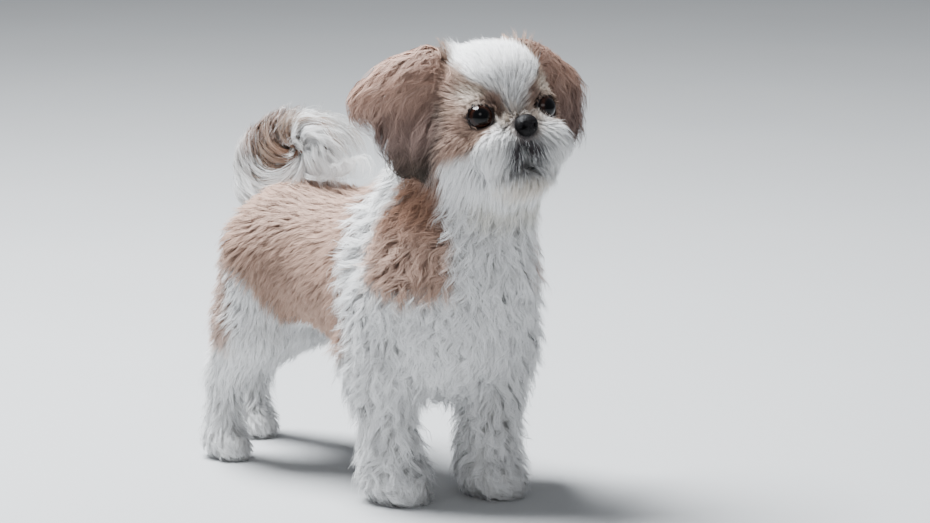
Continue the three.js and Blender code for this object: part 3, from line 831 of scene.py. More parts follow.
def make_hair(name, hair, cull=True, root_painted_shade=0.72, shape_tip=0.8, extra_uv=None):
    """Every strand becomes a flat ribbon that narrows to a point."""
    verts, tris, norms, cols, uvl = [], [], [], [], []
    base = 0
    gen = np.random.default_rng(len(name) * 31 + 5)
    for loose_, (path, width, norm, colour, uvs) in [(False, h) for h in hair.parts] + [(True, h) for h in hair.free]:
        if loose_:
            ok = np.ones(len(path), bool)
            for s in (-1, 1):
                ok &= (np.linalg.norm(path - EYES[s].astype(F32), axis=2) > 12.2).all(1)
            path, width, norm, colour, uvs = path[ok], width[ok], norm[ok], colour[ok], uvs[ok]
        elif cull:
            ok = np.ones(len(path), bool)
            for s in (-1, 1):
                e = path - EYES[s].astype(F32)
                dist = np.linalg.norm(e, axis=2)
                ax = EYE_AXIS[s].astype(F32)
                cosv = (e @ ax) / np.maximum(dist, 1e-6)
                ok &= ~((dist < 12.4).any(1) | ((cosv > math.cos(math.radians(50))) & (dist < 19)).any(1))
            e = path - NOSE_AT.astype(F32)
            loc = (e @ HEAD_R.astype(F32)) / np.array([9.5, 11.2, 10.2], F32)
            ok &= ~((loc ** 2).sum(-1) < 1).any(1)
            front = (loc[..., 0] > 0.2) & ((loc[..., 1] ** 2 + loc[..., 2] ** 2) < 0.8)
            ok &= ~front.any(1)
            path, width, norm, colour, uvs = path[ok], width[ok], norm[ok], colour[ok], uvs[ok]
        n, k1 = path.shape[:2]
        if not n:
            continue
        K = k1 - 1
        path = path.copy()
        path[..., 2] = np.maximum(path[..., 2], 0.35)
        T = np.linspace(0, 1, k1, dtype=F32)
        tan = np.empty_like(path)
        tan[:, 1:-1] = path[:, 2:] - path[:, :-2]
        tan[:, 0] = path[:, 1] - path[:, 0]
        tan[:, -1] = path[:, -1] - path[:, -2]
        tan = unit(tan).astype(F32)
        nn = norm - (norm * tan).sum(-1, keepdims=True) * tan
        nn = unit(nn).astype(F32)
        sd = np.cross(tan, nn)
        roll = gen.normal(0, 0.45, n).astype(F32)[:, None, None]
        fn = nn * np.cos(roll) + sd * np.sin(roll)
        sd = np.cross(tan, fn)
        prof = (np.clip(1.0 - T, 0, 1) ** shape_tip) * (0.75 + 0.25 * np.minimum(1, T * 5))
        half = 0.5 * width[:, None] * prof[None]
        L = path[:, :-1] - sd[:, :-1] * half[:, :-1, None]
        R = path[:, :-1] + sd[:, :-1] * half[:, :-1, None]
        V = np.concatenate([np.stack([L, R], 2).reshape(n, 2 * K, 3), path[:, -1:]], 1)
        soft = unit(0.62 * norm + 0.38 * fn)
        nl = unit(soft[:, :-1] - 0.55 * sd[:, :-1])
        nr = unit(soft[:, :-1] + 0.55 * sd[:, :-1])
        NN = np.concatenate([np.stack([nl, nr], 2).reshape(n, 2 * K, 3), soft[:, -1:]], 1)
        ft = []
        for k in range(K - 1):
            a_, b_, c_, d_ = 2 * k, 2 * k + 1, 2 * k + 2, 2 * k + 3
            ft += [(a_, b_, d_), (a_, d_, c_)]
        ft.append((2 * K - 2, 2 * K - 1, 2 * K))
        ft = np.array(ft)
        nv = 2 * K + 1
        F = (base + np.arange(n) * nv)[:, None, None] + ft[None]
        base += n * nv
        tt = np.concatenate([np.repeat(T[:-1], 2), T[-1:]])
        mixc = colour[:, 0][:, None] * (1 - tt[None, :, None]) + colour[:, 1][:, None] * tt[None, :, None]
        # painted shade: every strand is drawn darker towards its root, as if shaded by the hair around it
        shade = root_painted_shade + (1 - root_painted_shade) * np.minimum(1, tt * 1.8)
        C = mixc * shade[None, :, None]
        U = np.empty((n, nv, 2), F32)
        uu = np.concatenate([np.tile([-1.0, 1.0], K), [0.0]]).astype(F32)
        U[..., 0] = uvs[:, None, 0] + 0.0015 * uu[None]
        U[..., 1] = uvs[:, None, 1] + 0.003 * (tt[None] - 0.5)
        verts.append(V.reshape(-1, 3))
        norms.append(NN.reshape(-1, 3))
        tris.append(F.reshape(-1, 3))
        cols.append(C.reshape(-1, 3))
        uvl.append(U.reshape(-1, 2))
    V, NN, F, C, U = map(np.concatenate, (verts, norms, tris, cols, uvl))
    # faces look outward, as their shading does
    ob = new_mesh(name, to_metres(V), F)
    me = ob.data
    me.normals_split_custom_set_from_vertices(NN)
    a = me.color_attributes.new("coat", "FLOAT_COLOR", "POINT")
    a.data.foreach_set("color", np.concatenate([np.clip(C, 0, 1), np.ones((len(C), 1), F32)], 1).astype(F32).ravel())
    l = me.uv_layers.new(name="OFBake")
    U = np.clip(U, 0.0005, 0.9995)
    l.data.foreach_set("uv", U[F.ravel()].astype(F32).ravel())
    me.materials.append(MAT_FUR)
    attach(ob, "root")
    print(f"{name}: {len(F)} triangles")
    return ob


EYE_YAW = 20
EYE_AXIS = {s: unit(from_head((math.cos(math.radians(EYE_YAW)), s * math.sin(math.radians(EYE_YAW)), 0.02)) - HEAD_AT) for s in (-1, 1)}

# share of each kind of coat at every skin corner
w_all = skin_info["w"]
qh = skin_info["q"]
on_ear = {s: np.maximum(step01(body_d - ear_d[s], 2, 8), ear_front(to_head(pts), s)) for s in (-1, 1)}
ear_any = np.maximum(on_ear[-1], on_ear[1])
on_tail = 1 - step01(tail_d, 1.0, 5.0)
sole = 1 - step01(pts[:, 2], 0.5, 3.0)
away_eye = np.ones(len(pts))
for s in (-1, 1):
    away_eye *= step01(np.linalg.norm(pts - EYES[s], axis=1), 12.9, 13.6)
away_nose = step01(np.linalg.norm((to_head(pts) - np.array(NOSE[0])) / np.array([9.0, 11.5, 10.5]), axis=1), 1.0, 1.12)
common = (1 - sole) * away_eye * away_nose * (1 - on_tail)


def body_coat(name, weight, seed, per_mm2=0.5, lock_r=4.6, K=5):
    gen = np.random.default_rng(seed)
    P, N, U, g, own = plan(weight, per_mm2, lock_r, gen)
    Pg, Ng = P[g], N[g]
    x, z = Pg[:, 0], Pg[:, 2]
    r = regions(Pg)
    w = soft_weights(r, Pg, BODY_REGIONS, 4.0)
    fore = w["fr"] + w["fl"]
    hind = w["hr"] + w["hl"]
    chest = step01(x, 62, 100)
    foot = 1 - step01(z, 14, 46)
    low = 1 - step01(z, 80, 130)
    L = w["trunk"] * (15 + 13 * chest) + w["neck"] * 28 + w["head"] * 22 + fore * (28 - 15 * foot) + hind * (16 + 6 * low - 11 * foot)
    D = coat_depth(Pg) * gen.uniform(0.72, 1.12, len(Pg))
    L = L * gen.uniform(0.8, 1.25, len(Pg))
    path, norm = grow_on_skin(Pg, Ng, L, D, K, 0.75, flow, lift=0.75)
    curl = np.clip(w["trunk"] * chest + w["neck"] + fore, 0, 1) * (1 - 0.6 * foot)
    wv = 0.8 + 2.9 * curl + 0.5 * hind
    hair = Hair()

    def paint(q):
        col, info = markings(q[:, int(round(0.6 * K))])
        deep = mix(col, SADDLE_DEEP, 0.6 * info["sad"])
        return deep, np.minimum(col * 1.22, 0.92)

    locks(hair, path, norm, None, None, U, 0, 0.6 * lock_r, 0.72 + 0.06 * curl - 0.15 * foot, wv, 0.9 + 0.7 * curl, K, gen, conv=0.45 if "back" in name else 0.58, stray=0.2, colour_var=0.10, own=own, roots=P - 1.2 * N, paint=paint)
    return make_hair(name, hair, root_painted_shade=0.8)


head_w = w_all["head"] * (1 - ear_any)
trunk_w = (w_all["trunk"] + 0 * pts[:, 0])
front_part = step01(pts[:, 0], 58, 62)
left = step01(pts[:, 1], -0.5, 0.5)
rest = common * (1 - ear_any) * (1 - head_w)
wl = {n: w_all[n] for n in w_all}
tot_leg_f = wl["fr"] + wl["fl"]
tot_leg_h = wl["hr"] + wl["hl"]
MAJOR = np.stack([wl["trunk"], wl["neck"], wl["head"], tot_leg_f, tot_leg_h], 1).argmax(1)
is_ = lambda k: (MAJOR == k).astype(float)
cb = common * (1 - ear_any)
body_coat("coat_chest", cb * is_(0) * front_part, 101, 0.415, 6.0, 6)
body_coat("coat_back_left", cb * is_(0) * (1 - front_part) * left, 102, 0.75, 3.7, 4)
body_coat("coat_back_right", cb * is_(0) * (1 - front_part) * (1 - left), 103, 0.75, 3.7, 4)
body_coat("coat_neck", cb * is_(1), 104, 0.33, 6.0, 6)
body_coat("coat_foreleg_right", cb * is_(3) * (1 - left), 105, 0.46, 5.4, 5)
body_coat("coat_foreleg_left", cb * is_(3) * left, 106, 0.46, 5.4, 5)
body_coat("coat_hindleg_right", cb * is_(4) * (1 - left), 115, 0.48, 4.0, 4)
body_coat("coat_hindleg_left", cb * is_(4) * left, 116, 0.48, 4.0, 4)


def front_curls():
    """Loose waved locks over the neck, chest and forelegs, and the tufts behind the elbows."""
    gen = np.random.default_rng(140)
    zed = pts[:, 2]
    weight = cb * (is_(0) * front_part + is_(1) + 0.9 * is_(3) * step01(zed, 38, 60))
    m, K = 480, 6
    P, N, U, _ = roots_on_skin(weight, m, gen)
    r = regions(P)
    w = soft_weights(r, P, BODY_REGIONS, 4.0)
    fore = w["fr"] + w["fl"]
    L = gen.uniform(25, 40, m) * (1 - 0.15 * fore)
    D = coat_depth(P) + gen.uniform(0.0, 6.0, m)

    def lie(p, n):
        return flow(p, n) + 0.45 * np.stack([wobble(p, 30, 31), wobble(p, 30, 32), wobble(p, 30, 33)], 1)

    path, norm = grow_on_skin(P, N, L, D, K, 0.6, lie, lift=0.8)
    hair = Hair()

    def paint(q):
        col, info = markings(q[:, 4])
        return col * 0.96, np.minimum(col * 1.25, 0.94)

    locks(hair, path, norm, None, None, U, 10, 2.6, 0.74, gen.uniform(1.8, 4.2, m), gen.uniform(0.9, 1.8, m), K, gen, conv=0.82, stray=0.1, paint=paint)
    for n_ in ("fr", "fl"):
        j = LEGS[n_]["j"]
        a_ = np.array(j[1], float)
        k = 22
        base = np.stack([a_[0] - 34 + 0 * np.arange(k), a_[1] + gen.uniform(-16, 16, k), gen.uniform(96, 138, k)], 1)
        p = base
        for _ in range(5):
            pf = p.astype(F32)
            g = gradient(skin_field, pf).astype(float)
            p = p - (skin_field(pf) / np.maximum((g * g).sum(-1), 0.3))[:, None] * g
        g = unit(gradient(skin_field, p.astype(F32)).astype(float))
        ln = gen.uniform(20, 30, k)
        aim = unit(np.array([-1.0, 0, -0.35]) + 0.3 * gen.normal(size=(k, 3)))
        T = np.linspace(0, 1, K + 1)
        tp = (p - g)[:, None] + aim[:, None] * (T[None] * ln[:, None])[..., None] + np.array([0.1, 0, -0.55]) * ((T ** 2)[None] * ln[:, None])[..., None]
        near = np.array([np.argmin(((P - b_) ** 2).sum(1)) for b_ in p])
        locks(hair, tp, np.repeat(g[:, None], K + 1, 1), None, None, U[near], 14, 3.4, 0.72, gen.uniform(1.5, 3.0, k), gen.uniform(0.9, 1.5, k), K, gen, conv=0.7, stray=0.12, paint=lambda q: (WHITE * 0.95 + 0 * q[:, 0], WHITE + 0 * q[:, 0]))
    return make_hair("coat_curls", hair, root_painted_shade=0.8)


front_curls()
BROWS = []
BROW_UP = {s: unit(HEAD_R[:, 2] - (HEAD_R[:, 2] @ EYE_AXIS[s]) * EYE_AXIS[s]) for s in (-1, 1)}
BROW_OUT = {s: s * np.cross(BROW_UP[s], EYE_AXIS[s]) for s in (-1, 1)}


# head: short, fine hair; longest on moustache and chin, upright on the bridge
def head_coat(name, weight, seed, side):
    gen = np.random.default_rng(seed)
    P, N, U, g, own = plan(weight, 1.15, 2.7, gen)
    # bare lips under the nose carry few hairs
    keep = gen.uniform(0, 1, len(P)) > 0.45 * markings(P)[1]["lip"]
    Pg, Ng = P[g], N[g]
    lip = markings(Pg)[1]["lip"]
    x, y, z = to_head(Pg).T
    ex, ey, ez = EYE[0]
    ed = np.minimum(*[np.sqrt((x - ex) ** 2 + (y - s * ey) ** 2 + (z - ez) ** 2) for s in (-1, 1)])
    nd = np.sqrt((x - 61) ** 2 + y ** 2 + (z + 12) ** 2)
    bridge = np.exp(-((y / 17) ** 2) - ((z - 2) / 11) ** 2) * step01(x, 38, 48)
    L = 16 + 9 * step01(-x, -20, 20) + 8 * step01(-z, 18, 45)
    L = L * (0.42 + 0.58 * step01(ed, 14, 30)) * (0.42 + 0.58 * step01(nd, 11, 30))
    L = np.maximum(L, 9.5 * bridge) * gen.uniform(0.8, 1.2, len(Pg))
    D = coat_depth(Pg) * gen.uniform(0.72, 1.15, len(Pg)) + 2.5 * bridge
    D = D * (1 - 0.3 * lip) + 3.0 * step01(z, 26, 44)
    path, norm = grow_on_skin(Pg, Ng, L, D, 4, 0.8, flow, lift=0.6)
    hair = Hair()
    P, N, U, own = P[keep], N[keep], U[keep], own[keep]

    def paint(q):
        col, info = markings(q[:, 2])
        col = mix(col, WHITE, 0.9 * info["lip"])
        col = mix(col, LIP_HAIR, info["lip"] * (share < 0.8))
        return col * 0.93, np.minimum(col * 1.1, 0.93)

    share = gen.uniform(0, 1, len(P))
    locks(hair, path, norm, None, None, U, 0, 1.7, 0.5 - 0.12 * lip, 0.032 * L, 0.8 + 0 * L, 4, gen, conv=0.42, stray=0.16, colour_var=0.09, own=own, roots=P - 1.2 * N, paint=paint)
    # hair that would run into an ear ends at its edge
    path_, *others = hair.parts[-1]
    mid = path_[:, 2]
    clear = (np.minimum(ear_field(mid, EAR_R), ear_field(mid, EAR_L)) > 1.0) & (ear_front(to_head(mid), side) < 0.5)
    hair.parts[-1] = tuple(v[clear] for v in (path_, *others))
    # tufts that stand up from the inner corners, in front of the eyes
    for s in (side,):
        m = 26
        base = np.stack([gen.uniform(47, 55, m), s * gen.uniform(11, 20, m), gen.uniform(-14, -3, m)], 1)
        p = from_head(base)
        for _ in range(4):
            pf = p.astype(F32)
            g = gradient(skin_field, pf).astype(float)
            p = p - (skin_field(pf) / np.maximum((g * g).sum(-1), 0.3))[:, None] * g
        g = unit(gradient(skin_field, p.astype(F32)).astype(float))
        aim = np.array([0.75, s * 0.42, 0.55]) + 0.22 * gen.normal(size=(m, 3))
        aim = unit(aim @ HEAD_R.T)
        ln = gen.uniform(7.5, 12, m)
        T = np.linspace(0, 1, 5)
        bend = (np.array([-0.25, s * 0.25, 0.6]) @ HEAD_R.T)
        tp = (p - g)[:, None] + aim[:, None] * (T[None] * ln[:, None])[..., None] + bend * ((T ** 2)[None] * ln[:, None] * 0.35)[..., None]
        near = np.array([np.argmin(((P - b_) ** 2).sum(1)) for b_ in p])
        tc, _ = markings(p)
        tc = mix(tc, CREAM + 0 * tc, 0.35 + 0 * ln)
        locks(hair, tp, np.repeat(g[:, None], 5, 1), tc * 0.95, np.minimum(tc * 1.12, 0.93), U[near], 9, 1.5, 0.42, 0.3 + 0 * ln, 0.6 + 0 * ln, 4, gen, conv=0.3, stray=0.2, colour_var=0.08)
    for s in (side,):
        m = 40
        a_ = gen.uniform(-1.15, 1.25, m)                       # round the upper rim, inner to outer
        rim = EYES[s] + 13.6 * (np.cos(a_)[:, None] * BROW_UP[s] + np.sin(a_)[:, None] * BROW_OUT[s]) + EYE_AXIS[s] * 3.0
        p = rim + 0.0
        for _ in range(4):
            pf = p.astype(F32)
            g = gradient(skin_field, pf).astype(float)
            p = p - (skin_field(pf) / np.maximum((g * g).sum(-1), 0.3))[:, None] * g
        g = unit(gradient(skin_field, p.astype(F32)).astype(float))
        ln = gen.uniform(4.5, 7.0, m)
        aim = unit(EYE_AXIS[s] * 1.0 - 0.30 * (np.cos(a_)[:, None] * BROW_UP[s]) + 0.35 * np.sin(a_)[:, None] * BROW_OUT[s] + 0.15 * gen.normal(size=(m, 3)))
        T = np.linspace(0, 1, 5)
        sag = -0.55 * BROW_UP[s] + 0.4 * np.sin(a_)[:, None] * BROW_OUT[s]
        tp = (p - 0.8 * g)[:, None] + aim[:, None] * (T[None] * ln[:, None])[..., None] + sag[:, None] * ((T ** 2)[None] * ln[:, None] * 0.55)[..., None]
        off_ = tp - EYES[s]
        rr = np.linalg.norm(off_, axis=2, keepdims=True)
        tp = EYES[s] + off_ * np.maximum(1, 13.0 / rr)
        near = np.array([np.argmin(((P - b_) ** 2).sum(1)) for b_ in p])
        tc, _ = markings(p)
        BROWS.append((tp, np.repeat(g[:, None], 5, 1), tc, U[near]))
    brow = Hair()
    for tp, nn_, tc, uu in BROWS[-1:]:
        # brow hair is drawn at 62% of the coat's colour at the root and 85% at the tip: partly darker brow hair,
        # partly painted shade over the eye
        locks(brow, tp, nn_, tc * 0.62, np.minimum(tc * 0.85, 0.93), uu, 8, 1.1, 0.4, 0.25 + 0 * tc[:, 0], 0.6 + 0 * tc[:, 0], 4, gen, conv=0.3, stray=0.15, colour_var=0.08)
    hair.free = brow.parts
    return make_hair(name, hair, root_painted_shade=0.86)


hw = cb * is_(2)
_side = step01((pts - HEAD_AT) @ HEAD_R[:, 1], -0.5, 0.5)
for nm, ww, sd_, side_ in (("coat_head_right", hw * (1 - _side), 107, -1), ("coat_head_left", hw * _side, 108, 1)):
    head_coat(nm, ww, sd_, side_)


# ears: long waved locks from the crown of the ear down past its edge
def ear_coat(s, name):
    e = EAR_R if s < 0 else EAR_L

    def bounds(v, slack=0.0):
        q = to_head(v)
        top = (2.5 if s > 0 else 0.5) * step01(q[..., 2], 22, 42)
        loose = slack * step01(q[..., 1] * s, 62, 84) * step01(20 - q[..., 2], 0, 12)
        top = top + 3.0 * step01(-q[..., 2], 40, 52)
        return np.minimum(ear_field(v, e), head_field(v) - 5.5) + top - loose

    gen = np.random.default_rng(110 + s)
    K = 5
    P, N, U, g, own = plan(common * on_ear[s] * (1 + 0.7 * step01(to_head(pts)[:, 2], 24, 40)), 0.84, 4.0, gen)
    Pg, Ng = P[g], N[g]

    def lie(p, n):
        q = to_head(p)
        v = np.stack([-0.10 - 0.25 * step01(q[:, 2], 5, 40), s * 0.7 * step01(q[:, 2], -5, 40), -1 + 0 * q[:, 0]], 1)
        v[:, 0] -= 0.55 * step01(12 - q[:, 2], 0, 18) * step01(q[:, 0], -12, 4)
        v[:, 1] -= s * 0.5 * step01(q[:, 1] * s, 70, 82) * step01(26 - q[:, 2], 0, 10) * step01(q[:, 2] + 8, 0, 10)
        v = v + 0.34 * np.stack([wobble(q, 26, 21), wobble(q, 26, 22), 0 * q[:, 0]], 1)
        return v @ HEAD_R.T

    q = to_head(Pg)
    L = np.clip(31 + 0.2 * (q[:, 2] + 40), 18, 40) * gen.uniform(0.75, 1.2, len(Pg))
    stop = np.clip(1.0 * (q[:, 2] + 44), 8, 60)
    L = np.where(ear_front(q, s) > 0.3, np.minimum(L, stop), L)
    D = (ear_depth(q) + 0.8 + 3.5 * ear_front(q, s)) * gen.uniform(0.7, 1.15, len(Pg))
    path, norm = grow_on_skin(Pg, Ng, L, D, K, 0.55, lie, lift=0.7)
    # keep the hair within the ear's own outline
    f = bounds(path.reshape(-1, 3).astype(F32)).reshape(path.shape[:2])
    gr = gradient(bounds, path.reshape(-1, 3).astype(F32)).reshape(path.shape)
    path = path - np.clip(f - 0.5, 0, 14)[..., None] * gr * 0.85
    hair = Hair()

    def paint(q):
        c0 = ear_colour(to_head(q[:, 2]), s)
        c1 = ear_colour(to_head(q[:, K - 1]), s)
        return c0, np.minimum(c1 * 1.15, 0.9)

    locks(hair, path, norm, None, None, U, 0, 2.6, 0.6, 2.6 + 0 * L, 1.5 + 0 * L, K, gen, conv=0.5, stray=0.14, colour_var=0.12, confine=bounds, free=1.4, own=own, roots=P - 1.2 * N, paint=paint)
    # long waved locks over them, ragged at the edges
    K = 6
    m = 300
    zed = to_head(pts)[:, 2]
    P, N, U, _ = roots_on_skin(common * on_ear[s] * (0.35 + step01(zed, -35, 35)), m, gen)
    q = to_head(P)
    L = gen.uniform(34, 58, m) * (0.65 + 0.35 * step01(q[:, 2], -30, 20))
    L = np.minimum(L, np.clip(1.0 * (q[:, 2] + 46), 12, 60))
    D = ear_depth(q) + gen.uniform(0.5, 3.5, m) + 4.5 * ear_front(q, s)
    path, norm = grow_on_skin(P, N, L, D, K, 0.45, lie, lift=0.8)
    wide = lambda v: bounds(v, 7.0)
    f = wide(path.reshape(-1, 3).astype(F32)).reshape(path.shape[:2])
    gr = gradient(wide, path.reshape(-1, 3).astype(F32)).reshape(path.shape)
    path = path - np.clip(f - 2.5, 0, 30)[..., None] * gr * 0.8

    def paint2(q):
        c0 = ear_colour(to_head(q[:, 2]), s)
        c1 = ear_colour(to_head(q[:, K - 1]), s)
        pale = 1 + 0.5 * (gen.uniform(0, 1, (len(q), 1)) > 0.72)
        return c0 * 0.95, np.minimum(c1 * 1.2 * pale, 0.9)

    locks(hair, path, norm, None, None, U, 11, 2.3, 0.62, gen.uniform(2.0, 4.6, m), gen.uniform(1.0, 2.2, m), K, gen, conv=0.7, stray=0.12, colour_var=0.14, confine=wide, free=4.0, paint=paint2)
    return make_hair(name, hair, root_painted_shade=0.8)


ear_coat(-1, "coat_ear_right")
ear_coat(1, "coat_ear_left")


# tail: a sleeve of hair round its base, and locks that whirl out of the curl
WHIRL_REACH = ((-60, 40), (-40, 52), (-25, 66), (-12, 78), (0, 68), (20, 62), (40, 52), (60, 45), (80, 38), (100, 37), (120, 43), (140, 53), (160, 66), (180, 76), (200, 84), (215, 80), (230, 66), (250, 44), (280, 34), (300, 40))
vert_uv = np.zeros((len(pts), 2), F32)
vert_uv[quads.ravel()] = uv.reshape(-1, 2)


def settle(p, inside, off):
    """Moves places inside the tail's outline and clear of the flesh."""
    q = p.astype(F32)
    f = tail_field(q).astype(float)
    g = gradient(tail_field, q).astype(float)
    p = p - (np.clip(f - inside, 0, 12) * 0.85)[:, None] * g
    q = p.astype(F32)
    b = skin_field(q).astype(float)
    gb = gradient(skin_field, q).astype(float)
    return p + (np.clip(off - b, 0, 9) * 0.85)[:, None] * gb


def tail_coat():
    gen = np.random.default_rng(130)
    hair = Hair()
    # the sleeve
    weight = on_tail * (tail_field(pts) < 2)
    P, N, U, g, own = plan(weight, 0.68, 3.4, gen)
    Pg, Ng = P[g], N[g]
    core = np.array(TAIL_CORE, float)
    seg = core[1:, :3] - core[:-1, :3]
    best, along, tang = None, None, None
    for i in range(len(seg)):
        e = Pg - core[i, :3]
        t = np.clip(e @ seg[i] / (seg[i] @ seg[i]), 0, 1)
        d = np.linalg.norm(e - t[:, None] * seg[i], axis=1)
        if best is None:
            best, along, tang = d, t + i, np.broadcast_to(unit(seg[i]), Pg.shape).copy()
        else:
            m = d < best
            best = np.where(m, d, best)
            along = np.where(m, t + i, along)
            tang[m] = unit(seg[i])
    s = along / len(seg)
    K = 5
    L = np.interp(s, [0, 0.3, 0.6, 1.0], [24, 32, 28, 20]) * gen.uniform(0.8, 1.2, len(Pg))
    path = np.empty((len(Pg), K + 1, 3))
    norm = np.empty_like(path)
    p = Pg - 1.0 * Ng
    v = unit(tang + 0.75 * Ng + 0.18 * gen.normal(size=Pg.shape))
    path[:, 0], norm[:, 0] = p, Ng
    C = np.array(WHIRL)
    for k in range(1, K + 1):
        rel = p - C
        turn = unit(np.stack([rel[:, 2], 0 * rel[:, 0], -rel[:, 0]], 1) + 1e-6)
        v = unit(v + 0.34 * turn + 0.05 * gen.normal(size=Pg.shape))
        p = settle(p + v * (L / K)[:, None], 0.0, 2.0 + 5.0 * min(1, k / 3))
        path[:, k] = p
        norm[:, k] = unit(gradient(tail_field, p.astype(F32)).astype(float) + 0.4 * Ng)

    def paint_sleeve(q):
        m = q[:, 3]
        a_ = np.exp(-(((m[:, 0] + 96) / 27) ** 2) - ((m[:, 2] - 300) / 26) ** 2)
        c = mix(WHITE + 0 * m, RUST * 0.8, np.clip(2.2 * a_, 0, 0.97) * (gen.uniform(0, 1, len(m)) > 0.12))
        return c, mix(c, WHITE + 0 * m, 0.22 + 0 * a_)

    locks(hair, path, norm, None, None, U, 0, 2.6, 0.7, 1.0 + 0 * L, 0.8 + 0 * L, K, gen, conv=0.5, stray=0.18, own=own, roots=P - 1.0 * N, paint=paint_sleeve)
    # the whirl
    K = 7
    m = 200
    sector = gen.choice(6, m, p=[0.17, 0.17, 0.19, 0.15, 0.24, 0.08])
    lo = np.array([-35, 10, 55, 105, 165, 240])[sector]
    hi = np.array([10, 55, 105, 165, 240, 320])[sector]
    end = lo + (hi - lo) * gen.uniform(0, 1, m)
    tab = np.array(WHIRL_REACH, float)
    R = np.interp(np.where(end > 300, end - 360, end), tab[:, 0], tab[:, 1]) * gen.uniform(0.72, 1.06, m)
    turn = np.radians(gen.uniform(48, 82, m))
    T = np.linspace(0.05, 1, K + 1)
    ang = np.radians(end)[:, None] + turn[:, None] * (1 - T[None])
    rad = R[:, None] * T[None] ** 0.85
    side = np.where(gen.uniform(0, 1, m) < 0.55, -1, 1) * gen.uniform(0.15, 1, m)
    y = side[:, None] * (5 + 15 * np.sin(math.pi * 0.8 * T[None]))
    path = np.stack([C[0] + rad * np.cos(ang), C[1] + y, C[2] + rad * np.sin(ang)], 2)
    for _ in range(2):
        flat = settle(path.reshape(-1, 3), 2.0, 2.5)
        path = flat.reshape(path.shape)
    p0 = path[:, 0]
    for _ in range(3):
        q = p0.astype(F32)
        g_ = gradient(skin_field, q).astype(float)
        p0 = p0 - ((skin_field(q) + 1.0) / np.maximum((g_ * g_).sum(-1), 0.3))[:, None] * g_
    path[:, 0] = p0
    out = np.stack([0.5 * np.cos(ang), np.sign(side)[:, None] + 0 * ang, 0.5 * np.sin(ang)], 2)
    norm = unit(out)
    near = np.array([np.argmin(((pts - b_) ** 2).sum(1)) for b_ in p0])
    rusty = ((end > 100) & (end < 192) & (gen.uniform(0, 1, m) < 0.8)) | ((end < 100) & (gen.uniform(0, 1, m) < 0.14))
    shade = gen.uniform(0.75, 1.15, (m, 1))
    col = np.where(rusty[:, None], 0.85 * RUST * shade, WHITE * np.minimum(shade + 0.15, 1.0))
    tip = np.where(rusty[:, None], mix(col, CREAM + 0 * col, 0.35 + 0 * end), WHITE * 0.97)
    wv = np.where((end < 15) & (end > -35), 3.6, 1.3)
    locks(hair, path, norm, col, tip, vert_uv[near], 24, 3.1, 0.66, wv, 0.9 + 0 * end, K, gen, conv=0.62, stray=0.14, colour_var=0.08)
    # open ringlets in front of the whirl
    K = 12
    ring = np.array(((-48, 270), (-30, 267), (-12, 267), (2, 273), (10, 284), (20, 291), (29, 287), (32, 277), (26, 268), (15, 266), (9, 272)), float)
    run = np.concatenate([[0], np.cumsum(np.linalg.norm(np.diff(ring, axis=0), axis=1))])
    m = 7
    size = gen.uniform(0.72, 1.08, m)
    far_ = gen.uniform(0.72, 1.0, m)
    path = np.empty((m, K + 1, 3))
    for i in range(m):
        u = np.linspace(0, run[-1] * far_[i], K + 1)
        path[i, :, 0] = -48 + size[i] * (np.interp(u, run, ring[:, 0]) + 48)
        path[i, :, 2] = 266 + size[i] * (np.interp(u, run, ring[:, 1]) - 266) + gen.uniform(-1.5, 3)
        path[i, :, 1] = gen.uniform(-15, 9) + np.linspace(0, gen.uniform(-7, 7), K + 1)
    norm = np.broadcast_to(np.array([0.1, -1.0, 0.25]), path.shape).copy()
    near = np.array([np.argmin(((pts - b_) ** 2).sum(1)) for b_ in path[:, 0]])
    white = np.broadcast_to(WHITE, (m, 3)).copy()
    locks(hair, path, norm, white * 0.95, white, vert_uv[near], 16, 2.6, 0.6, 0.4 + 0 * size, 0.6 + 0 * size, K, gen, conv=0.6, stray=0.1, colour_var=0.05)
    return make_hair("coat_tail", hair, cull=False, root_painted_shade=0.95)


tail_coat()


# ------------------------------------------------------------------ eyes, lids, nose
def sphere_grid(nu, nv):
    th = np.linspace(0, math.pi, nv + 1)
    ph = np.linspace(0, 2 * math.pi, nu, endpoint=False)
    v = [(0, 0, 1.0)]
    for t in th[1:-1]:
        for p_ in ph:
            v.append((math.sin(t) * math.cos(p_), math.sin(t) * math.sin(p_), math.cos(t)))
    v.append((0, 0, -1.0))
    f = []
    for i in range(nu):
        f.append((0, 1 + i, 1 + (i + 1) % nu))
    for j in range(nv - 2):
        for i in range(nu):
            a_, b_ = 1 + j * nu + i, 1 + j * nu + (i + 1) % nu
            f += [(a_, a_ + nu, b_ + nu), (a_, b_ + nu, b_)]
    o = 1 + (nv - 2) * nu
    for i in range(nu):
        f.append((o + i, len(v) - 1, o + (i + 1) % nu))
    return np.array(v), np.array(f)


